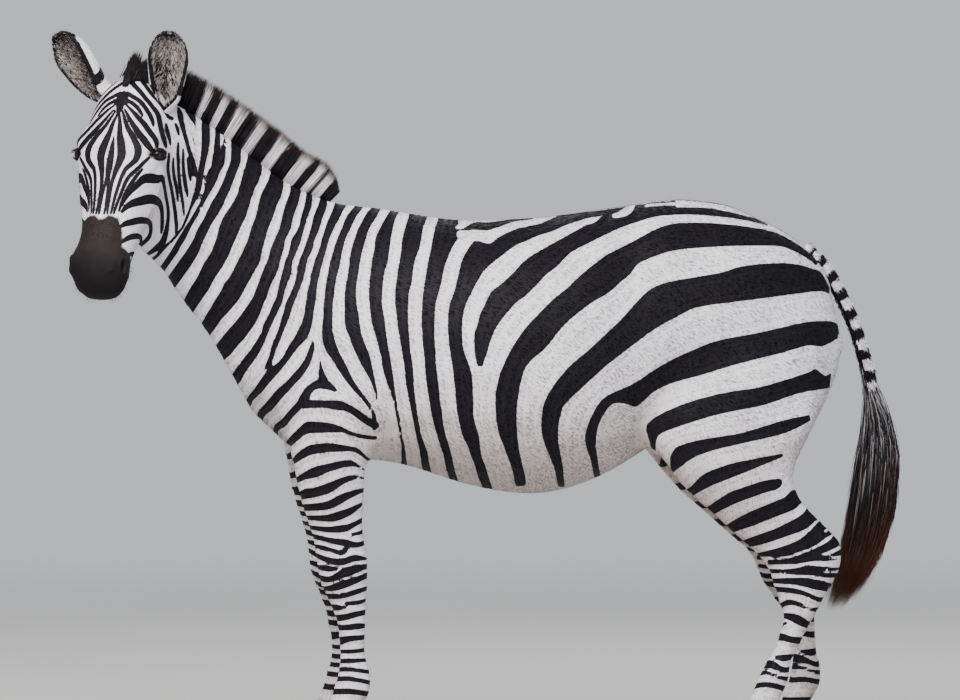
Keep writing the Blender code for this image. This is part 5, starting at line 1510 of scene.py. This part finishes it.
def ear_grid(name):
    """Points of the ear's leaf, with their share of its length and place across it."""
    origin, axes = ear_frame(name)
    inward = -HEAD_AXES[1] * EAR_STANCES[name][0]
    leaf, shares, sides = [], [], []
    for share, half, curl in along(EAR, EAR_ROWS):
        curl = math.radians(curl)
        radius = half / math.sin(min(curl, math.pi / 2))
        for side in 2 * np.arange(EAR_COLUMNS) / (EAR_COLUMNS - 1) - 1:
            x, y = radius * math.sin(curl * side), -radius * math.cos(curl * side)
            # soft rolled rims and a faint fold down the middle of the cup
            y += 0.0030 * abs(side) ** 6 * math.sin(math.pi * min(share * 1.1, 1))
            y += 0.0012 * math.cos(side * 9) * math.sin(math.pi * share)
            leaf.append((x, EAR_CUPPING * y, EAR_LENGTH * share))
            shares.append(share)
            sides.append(side)
    shares, sides = np.array(shares), np.array(sides)
    # the root bends in under the skin of the head
    rooted = 0.024 * (1 - smoothstep(-0.14, 0.16, shares))[:, None] * inward
    return np.array(leaf) @ axes + origin + rooted, shares, sides


def ear_marks(share, side, outer):
    """Stripe value of the ear: banded back, dark rims and tip, pale inside."""
    tip = 0.86 - share + 0.04 * np.cos(side * 5)
    patch = np.abs(share - 0.30 - 0.05 * np.cos(side * 4)) - 0.07
    rim = 0.90 - np.abs(side) + 0.10 * (share < 0.2)
    back = np.minimum(np.minimum(tip, patch) * EAR_LENGTH, rim * 0.03)
    within = np.minimum((0.86 - np.abs(side)) * 0.025, (0.93 - share) * EAR_LENGTH * 0.6)
    return np.clip(np.where(outer, back, within), -0.012, 0.012)


def make_ear(name):
    """The ear's leaf with its thickness, then its hair."""
    leaf, shares, sides = ear_grid(name)
    quads = grid_faces(EAR_ROWS, EAR_COLUMNS)
    mesh = mesh_of("leaf", leaf, quads)
    normals = normals_of(mesh)
    bpy.data.meshes.remove(mesh)
    half = EAR_THICKNESS / 2 * (1 - 0.55 * np.clip(shares, 0, 1)) * (1 - 0.45 * np.abs(sides) ** 4)
    front, back = leaf - normals * half[:, None], leaf + normals * half[:, None]
    out = ear_frame(name)[1][1]
    if (normals[np.abs(sides) < 0.2] @ out).mean() > 0:
        front, back = back, front
    n = len(leaf)
    grid = np.arange(n).reshape(EAR_ROWS, EAR_COLUMNS)
    border = [*grid[0], *grid[1:, -1], *grid[-1, -2::-1], *grid[-2:0:-1, 0]]
    faces = [face for q in quads for face in (q, tuple(k + n for k in reversed(q)))]
    faces += [(b, a, a + n, b + n) for a, b in zip(border, border[1:] + border[:1])]
    mesh = mesh_of(name + "_skin", np.vstack([front, back]), faces)
    face_outwards(mesh)
    outer = np.repeat((False, True), n)
    share, side = np.tile(shares, 2), np.tile(sides, 2)
    inner = (~outer) * smoothstep(0.98, 0.70, np.abs(side))
    # darker skin towards the base inside the cup: bare skin, partly painted shade in its hollow
    bare = 0.5 * inner * smoothstep(0.5, 0.1, share)
    stripe = ear_marks(share, side, outer)
    # grey-brown over the inside of the cup: dust together with painted shade in its hollow
    keep_values(mesh, stripe=stripe, soil=0.95 * inner, bare=bare, ragged=0.4)
    put(name + "_skin", mesh, "coat", name)
    return ear_hair(name, front, back, shares, sides)


def ear_hair(name, front, back, shares, sides):
    """Long hair inside the cup, a dark fringe on its rims and short hair on its back."""
    rng = np.random.default_rng(41 if name == "ear_left" else 42)
    across, out, up = ear_frame(name)[1]
    n_in, n_rim, n_back = 2600, 1700, 1500

    def pick(count, low, high, edge_low, edge_high):
        i = rng.integers(int(low * EAR_ROWS), int(high * EAR_ROWS), count)
        side = rng.uniform(edge_low, edge_high, count) * rng.choice((-1, 1), count)
        j = ((side + 1) / 2 * (EAR_COLUMNS - 1)).round().astype(int)
        index = i * EAR_COLUMNS + np.clip(j, 0, EAR_COLUMNS - 1)
        return index, -np.sign(sides[index])[:, None] * across

    # roots, ways, lengths, width, stripe and grey-brown of each kind of hair; the grey-brown is
    # dust together with painted shade
    index, toward = pick(n_in, 0.10, 0.93, 0.0, 0.93)
    way = unit(up * 0.85 + out * 0.42 + toward * 0.35 + rng.normal(0, 0.18, (n_in, 3)))
    long = 0.026 * rng.uniform(0.6, 1.2, n_in) * (1 - 0.45 * shares[index])
    # more black hairs deep in the cup towards its base and middle, partly painted shade in its
    # hollow
    deep = smoothstep(0.55, 0.05, np.abs(sides[index])) * smoothstep(0.75, 0.45, shares[index])
    marks = np.where(rng.uniform(0, 1, n_in) < 0.10 + 0.65 * deep, -0.01, 0.004)
    groups = [(front[index], way, long, 0.0016, marks, 0.60)]
    index, toward = pick(n_rim, 0.12, 0.99, 0.95, 1.0)
    way = unit(up * 0.9 + toward * 0.30 + out * 0.30 + rng.normal(0, 0.15, (n_rim, 3)))
    long = 0.011 * rng.uniform(0.6, 1.2, n_rim)
    groups.append((front[index], way, long, 0.0016, -0.01, 0.0))
    index, _ = pick(n_back, 0.05, 0.97, 0.0, 1.0)
    way = unit(up + rng.normal(0, 0.10, (n_back, 3)))
    long = 0.010 * rng.uniform(0.7, 1.2, n_back)
    marks = ear_marks(shares[index], sides[index], True)
    groups.append((back[index], way, long, 0.0020, marks, 0.0))
    spines, widths, stripe, soil = [], [], [], []
    for root, way, long, width, mark, dust_and_shade_level in groups:
        spines.append(spines_of(root, way * long[:, None], HALVES))
        widths.append(width * rng.uniform(0.7, 1.2, len(root)))
        stripe.append(np.full(len(root), mark))
        soil.append(np.full(len(root), dust_and_shade_level))
    spines, widths = np.concatenate(spines), np.concatenate(widths)
    values = hair_values(rng, len(spines), np.concatenate(stripe), soil=np.concatenate(soil))
    # the hair inside the cup is darkened part way with the muzzle's colour, partly painted shade in
    # its hollow
    values["muzzle"][:n_in] = rng.uniform(0.34, 0.66, n_in)
    normals = np.tile(out, (len(spines), 1))
    return make_locks(name + "_hair", "coat", spines, normals, widths, values, flat=0.4)


# ---------------------------------------------------------------- eyes, lashes, whiskers
def make_eye(side):
    name = "eye_left" if side > 0 else "eye_right"
    low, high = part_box(name)
    bpy.ops.object.select_all(action="DESELECT")
    bpy.ops.mesh.primitive_uv_sphere_add(segments=56, ring_count=36, radius=EYE_RADIUS)
    ball = bpy.context.object
    ball.name = name + "_ball"
    axes = np.array(eye_axes())
    axes[:, 1] *= side
    points = points_of(ball.data)
    # the clear front of the eye bulges a little
    front = smoothstep(0.55, 0.95, points[:, 2] / EYE_RADIUS)
    points[:, 2] += 0.0007 * front
    # distance from the middle of the iris and of the long pupil, none behind
    x, y, behind = points[:, 0], points[:, 1], points[:, 2] < 0
    keep_value(ball.data, "iris", np.hypot(x * 0.92, y) + behind)
    keep_value(ball.data, "pupil", np.hypot(x * 0.45, y) + behind)
    set_points(ball.data, points @ axes @ HEAD_AXES + np.array((low + high) / 2))
    face_outwards(ball.data)
    shade_smooth(ball.data)
    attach(ball, "root")
    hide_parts(name)
    return ball


def make_lashes():
    rng = np.random.default_rng(51)
    outer, up, look = eye_axes()
    length, above, below = EYE_OPENING
    spines, normals = [], []
    for side in (1, -1):
        # sign of the lid, height of the opening there, number and length of its lashes
        for lid, height, count, long in ((1, above, 80, 0.008), (-1, below, 30, 0.004)):
            for _ in range(count):
                u = rng.uniform(-0.80, 0.92) * length
                v = lid * height * (1 - min(abs(u / length), 1) ** 2.0) ** (1 / 1.6)
                w = math.sqrt(max((EYE_RADIUS + 0.0024) ** 2 - u * u - v * v, 1e-6))
                root = np.array(EYE_PLACE) + outer * u + up * v + look * w
                way = look * 0.9 + up * (0.15 * lid - 0.25 * (lid > 0)) + outer * u * 12
                way = unit(way + rng.normal(0, 0.10, 3))
                reach = way * long * rng.uniform(0.7, 1.2)
                path = [root + reach * k + up * lid * 0.0022 * k * k for k in HALVES]
                spines.append(from_head(np.array(path) * (1, side, 1)))
                normals.append(up * (1, side, 1) @ HEAD_AXES)
    count = len(spines)
    return make_locks("lashes", "hair", np.array(spines), np.array(normals),
                      np.full(count, 0.0008), hair_values(rng, count), flat=0.5)


def make_whiskers(skin):
    """Stiff bristles on the lips, the chin and below the nostrils."""
    rng = np.random.default_rng(52)
    points, normals = points_of(skin.data), normals_of(skin.data)
    local = to_head(points)
    lips = (local[:, 0] > 0.455) & (local[:, 2] < -0.066) & (ahead_of_cut(points) > 0)
    count = 180
    pick = rng.choice(np.nonzero(lips)[0], count, replace=False)
    normal = normals[pick]
    long = rng.uniform(0.006, 0.016, count)[:, None]
    way = unit(normal * 0.9 + HEAD_AXES[0] * 0.3 + rng.normal(0, 0.15, (count, 3)))
    droop = np.array((0, 0, -0.15)) * long
    spines = spines_of(points[pick], way * long, HALVES, droop)
    return make_locks("whiskers", "hair", spines, normal, np.full(count, 0.0006),
                      hair_values(rng, count), flat=0.5)


# ---------------------------------------------------------------- materials
class Recipe:
    """A material under construction: nodes are added by kind and joined by name."""

    def __init__(self, name):
        self.material = bpy.data.materials.new(name)
        self.material.use_nodes = True
        self.tree = self.material.node_tree
        self.tree.nodes.clear()
        self.shader = self.node("BsdfPrincipled")
        out = self.node("OutputMaterial")
        self.feed(out.inputs["Surface"], self.shader.outputs["BSDF"])

    def node(self, kind, **settings):
        made = self.tree.nodes.new("ShaderNode" + kind)
        for key, value in settings.items():
            setattr(made, key, value)
        return made

    def feed(self, socket, value):
        if isinstance(value, bpy.types.NodeSocket):
            self.tree.links.new(value, socket)
        else:
            socket.default_value = value

    def made(self, node, output, sockets, values):
        """Feeds the values into the node's sockets, named or in order, and gives its output."""
        for socket, value in zip(sockets, values):
            self.feed(node.inputs[socket], value)
        return node.outputs[output]

    def noise(self, scale, detail=3.0, stretch=None):
        place = self.node("TexCoord").outputs["Object"]
        if stretch:
            node = self.node("Mapping")
            place = self.made(node, "Vector", ("Vector", "Scale"), (place, stretch))
        node = self.node("TexNoise")
        return self.made(node, "Fac", ("Vector", "Scale", "Detail"), (place, scale, detail))

    def distance_from_middle(self):
        node = self.node("VectorMath", operation="LENGTH")
        return self.made(node, "Value", (0,), (self.node("TexCoord").outputs["Object"],))

    def value(self, name):
        return self.node("Attribute", attribute_name=name).outputs["Fac"]

    def math(self, operation, *values):
        return self.made(self.node("Math", operation=operation), 0, range(3), values)

    def plus(self, a, b):
        return self.math("ADD", a, b)

    def times(self, a, b, added=0.0):
        return self.math("MULTIPLY_ADD", a, b, added)

    def ramp(self, value, low, high, first=0.0, last=1.0):
        node = self.node("MapRange", interpolation_type="SMOOTHSTEP")
        return self.made(node, 0, range(5), (value, low, high, first, last))

    def mix(self, amount, a, b):
        node = self.node("Mix", data_type="RGBA")
        return self.made(node, 2, (0, 6, 7), (amount, a, b))

    def bump(self, height, strength, distance):
        node = self.node("Bump")
        sockets = ("Height", "Strength", "Distance")
        normal = self.made(node, "Normal", sockets, (height, strength, distance))
        self.feed(self.shader.inputs["Normal"], normal)

    def surface(self, colour, roughness, **others):
        self.feed(self.shader.inputs["Base Color"], colour)
        self.feed(self.shader.inputs["Roughness"], roughness)
        for key, value in others.items():
            self.feed(self.shader.inputs[key.replace("_", " ")], value)
        return self.material


def rgb(r, g, b):
    return (r, g, b, 1.0)


BLACK_HAIR = rgb(0.0045, 0.0040, 0.0070)
BROWN_BLACK = rgb(0.012, 0.009, 0.010)
WHITE_HAIR = rgb(0.70, 0.675, 0.72)
SHADED_WHITE = rgb(0.55, 0.52, 0.56)
# grey-brown of dust together with painted shade
DUST_AND_SHADE_BROWN = rgb(0.27, 0.21, 0.165)
MUZZLE = rgb(0.010, 0.008, 0.008)
BARE_SKIN = rgb(0.004, 0.003, 0.004)


def striped_coat(name, hair):
    """Black and white hair over dark skin, from the values kept on the points."""
    m = Recipe(name)
    fine = m.noise(520, 2.0, (1.0, 1.0, 0.35))
    wander = m.noise(46, 2.0)
    uneven = m.plus(m.times(fine, 0.0034, -0.0017), m.times(wander, 0.0024, -0.0012))
    uneven = m.times(uneven, m.value("ragged"))
    white = m.ramp(m.plus(m.value("stripe"), uneven), -0.0006, 0.0006)
    mottle = m.ramp(m.noise(9, 4.0), 0.35, 0.70)
    pale = m.mix(m.times(mottle, 0.55), WHITE_HAIR, SHADED_WHITE)
    streak = m.noise(170, 3.0, (1.0, 1.0, 0.22))
    pale = m.mix(m.times(m.ramp(streak, 0.45, 0.75), 0.30), pale, rgb(0.34, 0.31, 0.31))
    # grey-brown of dust together with painted shade on the belly, the insides of the legs and the
    # ears' cups
    pale = m.mix(m.times(m.value("soil"), 0.88), pale, DUST_AND_SHADE_BROWN)
    dark = m.mix(m.times(m.ramp(streak, 0.40, 0.72), 0.55), BLACK_HAIR, BROWN_BLACK)
    if hair:
        tone = m.value("tone")
        pale = m.mix(m.times(tone, 0.12), pale, rgb(0.30, 0.27, 0.27))
        dark = m.mix(m.times(tone, 0.35), dark, rgb(0.018, 0.013, 0.014))
    colour = m.mix(white, dark, pale)
    muzzle = m.mix(m.times(m.noise(60), 0.6), MUZZLE, rgb(0.030, 0.022, 0.020))
    in_muzzle = m.ramp(m.plus(m.value("muzzle"), m.times(streak, 0.5, -0.25)), 0.25, 0.75)
    colour = m.mix(in_muzzle, colour, muzzle)
    if not hair:
        colour = m.mix(m.value("bare"), colour, BARE_SKIN)
    height = m.plus(m.times(streak, 0.7), m.times(fine, 0.5))
    m.bump(height, 0.35 if hair else 0.55, 0.0012)
    rough = m.ramp(white, 0.0, 1.0, 0.58, 0.70)
    return m.surface(colour, rough, Specular_IOR_Level=0.10)


def mane_finish():
    m = Recipe("mane_hair")
    white = m.ramp(m.value("stripe"), -0.0009, 0.0009)
    tone, tip = m.value("tone"), m.value("tip")
    pale = m.mix(m.times(tone, 0.35), rgb(0.70, 0.67, 0.70), rgb(0.44, 0.41, 0.41))
    pale = m.mix(m.ramp(tip, 0.72, 0.95), pale, rgb(0.10, 0.075, 0.060))
    dark = m.mix(m.times(tone, 0.5), BLACK_HAIR, rgb(0.016, 0.012, 0.014))
    dark = m.mix(m.ramp(tip, 0.62, 1.0), dark, rgb(0.022, 0.014, 0.012))
    streak = m.noise(300, 2.0)
    m.bump(streak, 0.3, 0.0008)
    rough = m.ramp(streak, 0.2, 0.8, 0.46, 0.60)
    return m.surface(m.mix(white, dark, pale), rough, Specular_IOR_Level=0.14)


def long_hair_finish():
    m = Recipe("tail_hair")
    pale = m.ramp(m.value("stripe"), -0.0075, 0.0002)
    tone, tip = m.value("tone"), m.value("tip")
    dark = m.mix(m.times(tone, 0.6), BLACK_HAIR, rgb(0.015, 0.012, 0.012))
    dark = m.mix(m.ramp(tip, 0.66, 1.0), dark, rgb(0.115, 0.046, 0.022))
    # grey of the tail's strands that stand as painted highlight on its black brush
    light = m.mix(tone, rgb(0.42, 0.41, 0.42), rgb(0.20, 0.19, 0.20))
    light = m.mix(m.ramp(tip, 0.55, 1.0), light, rgb(0.13, 0.095, 0.072))
    streak = m.noise(260, 2.0)
    m.bump(streak, 0.3, 0.0008)
    rough = m.ramp(streak, 0.2, 0.8, 0.42, 0.58)
    return m.surface(m.mix(m.times(pale, 0.85), dark, light), rough, Specular_IOR_Level=0.18)


def horn_finish():
    m = Recipe("hoof_horn")
    rings = m.noise(90, 3.0, (0.25, 0.25, 3.0))
    scratches = m.noise(240, 3.0, (1.0, 1.0, 0.25))
    colour = m.mix(m.ramp(rings, 0.35, 0.68), rgb(0.023, 0.018, 0.015), rgb(0.057, 0.045, 0.035))
    worn = m.times(m.ramp(scratches, 0.55, 0.75), 0.5)
    colour = m.mix(worn, colour, rgb(0.099, 0.080, 0.063))
    m.bump(m.plus(rings, m.times(scratches, 0.4)), 0.5, 0.0016)
    return m.surface(colour, m.ramp(scratches, 0.3, 0.8, 0.42, 0.68), Specular_IOR_Level=0.4)


def eye_finish():
    m = Recipe("eyeball")
    fibres = m.noise(420)
    iris = m.mix(fibres, rgb(0.008, 0.004, 0.003), rgb(0.020, 0.010, 0.006))
    colour = m.mix(m.ramp(m.value("pupil"), 0.0062, 0.0052), iris, rgb(0.002, 0.002, 0.003))
    colour = m.mix(m.ramp(m.value("iris"), 0.0150, 0.0172), colour, rgb(0.014, 0.010, 0.009))
    return m.surface(colour, m.ramp(fibres, 0.2, 0.8, 0.06, 0.11), Specular_IOR_Level=0.1,
                     Coat_Weight=0.25, Coat_Roughness=0.03)


def floor_finish():
    m = Recipe("pale_floor")
    grain = m.noise(120, 2.0)
    colour = m.mix(m.noise(1.4), rgb(0.55, 0.548, 0.54), rgb(0.58, 0.578, 0.572))
    m.bump(grain, 0.05, 0.0006)
    # its rim fades away into the room
    fade = m.ramp(m.distance_from_middle(), 3.5, 9.0, 1.0, 0.0)
    return m.surface(colour, m.ramp(grain, 0.2, 0.8, 0.75, 0.85), Specular_IOR_Level=0.0,
                     Alpha=fade)


def finish(obj, material):
    obj.data.materials.clear()
    obj.data.materials.append(material)


# ---------------------------------------------------------------- stage
LIGHTS = (  # a broad key from above and ahead on the left side, a weaker fill, a rim from behind
    ("key", (-1.6, -3.4, 4.2), 2.6, 540, (1.0, 0.975, 0.94)),
    ("fill", (2.6, -4.2, 1.8), 3.4, 70, (0.93, 0.96, 1.0)),
    ("rim", (1.2, 3.8, 3.4), 2.4, 60, (1.0, 0.98, 0.95)),
)
ROOM_COLOUR, ROOM_STRENGTH = rgb(0.88, 0.90, 0.94), 0.72
FLOOR_SIZE = 40


def make_stage():
    bpy.ops.object.select_all(action="DESELECT")
    bpy.ops.mesh.primitive_plane_add(size=FLOOR_SIZE, location=(0, 0, 0))
    floor = bpy.context.object
    floor.name = "floor"
    finish(floor, floor_finish())
    world = bpy.data.worlds.new("soft_room")
    bpy.context.scene.world = world
    world.use_nodes = True
    back = world.node_tree.nodes["Background"]
    back.inputs["Color"].default_value = ROOM_COLOUR
    back.inputs["Strength"].default_value = ROOM_STRENGTH
    for name, place, size, power, colour in LIGHTS:
        data = bpy.data.lights.new(name, "AREA")
        data.energy, data.size, data.color = power, size, colour
        lamp = added(name, data)
        lamp.location = Vector(place) + Vector(SHIFT)
        turn_to(lamp, Vector(VIEW_CENTRE) - lamp.location)


def turn_to(obj, way):
    obj.rotation_euler = way.to_track_quat("-Z", "Y").to_euler()


def make_camera():
    data = bpy.data.cameras.new("camera")
    data.sensor_width, data.lens, data.clip_end = SENSOR, LENS, 100
    camera = added("camera", data)
    camera.location = Vector(VIEW_CENTRE) + Vector(VIEW_BACK) * VIEW_DISTANCE
    turn_to(camera, -Vector(VIEW_BACK))
    bpy.context.scene.camera = camera


# ---------------------------------------------------------------- all together
def main():
    make_camera()
    make_stage()
    skin_finish, coat_finish = striped_coat("zebra_skin", False), striped_coat("zebra_coat", True)
    skin = make_skin()
    finish(skin, skin_finish)
    for name in EAR_STANCES:
        finish(make_ear(name), coat_finish)
        finish(bpy.data.objects[name + "_skin"], skin_finish)
    finish(make_dock(), skin_finish)
    finish(make_dock_hair(), coat_finish)
    hair = mane_finish()
    for piece in (make_mane(), make_forelock()):
        finish(piece, hair)
    long_hair = long_hair_finish()
    for piece in (make_tuft(), make_lashes(), make_whiskers(skin)):
        finish(piece, long_hair)
    eyes = eye_finish()
    for side in (1, -1):
        finish(make_eye(side), eyes)
    horn = horn_finish()
    for name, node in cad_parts.items():
        if name.startswith("hoof"):
            for slot in node.material_slots:
                slot.material = horn
    for piece in make_coat(skin):
        finish(piece, coat_finish)


main()
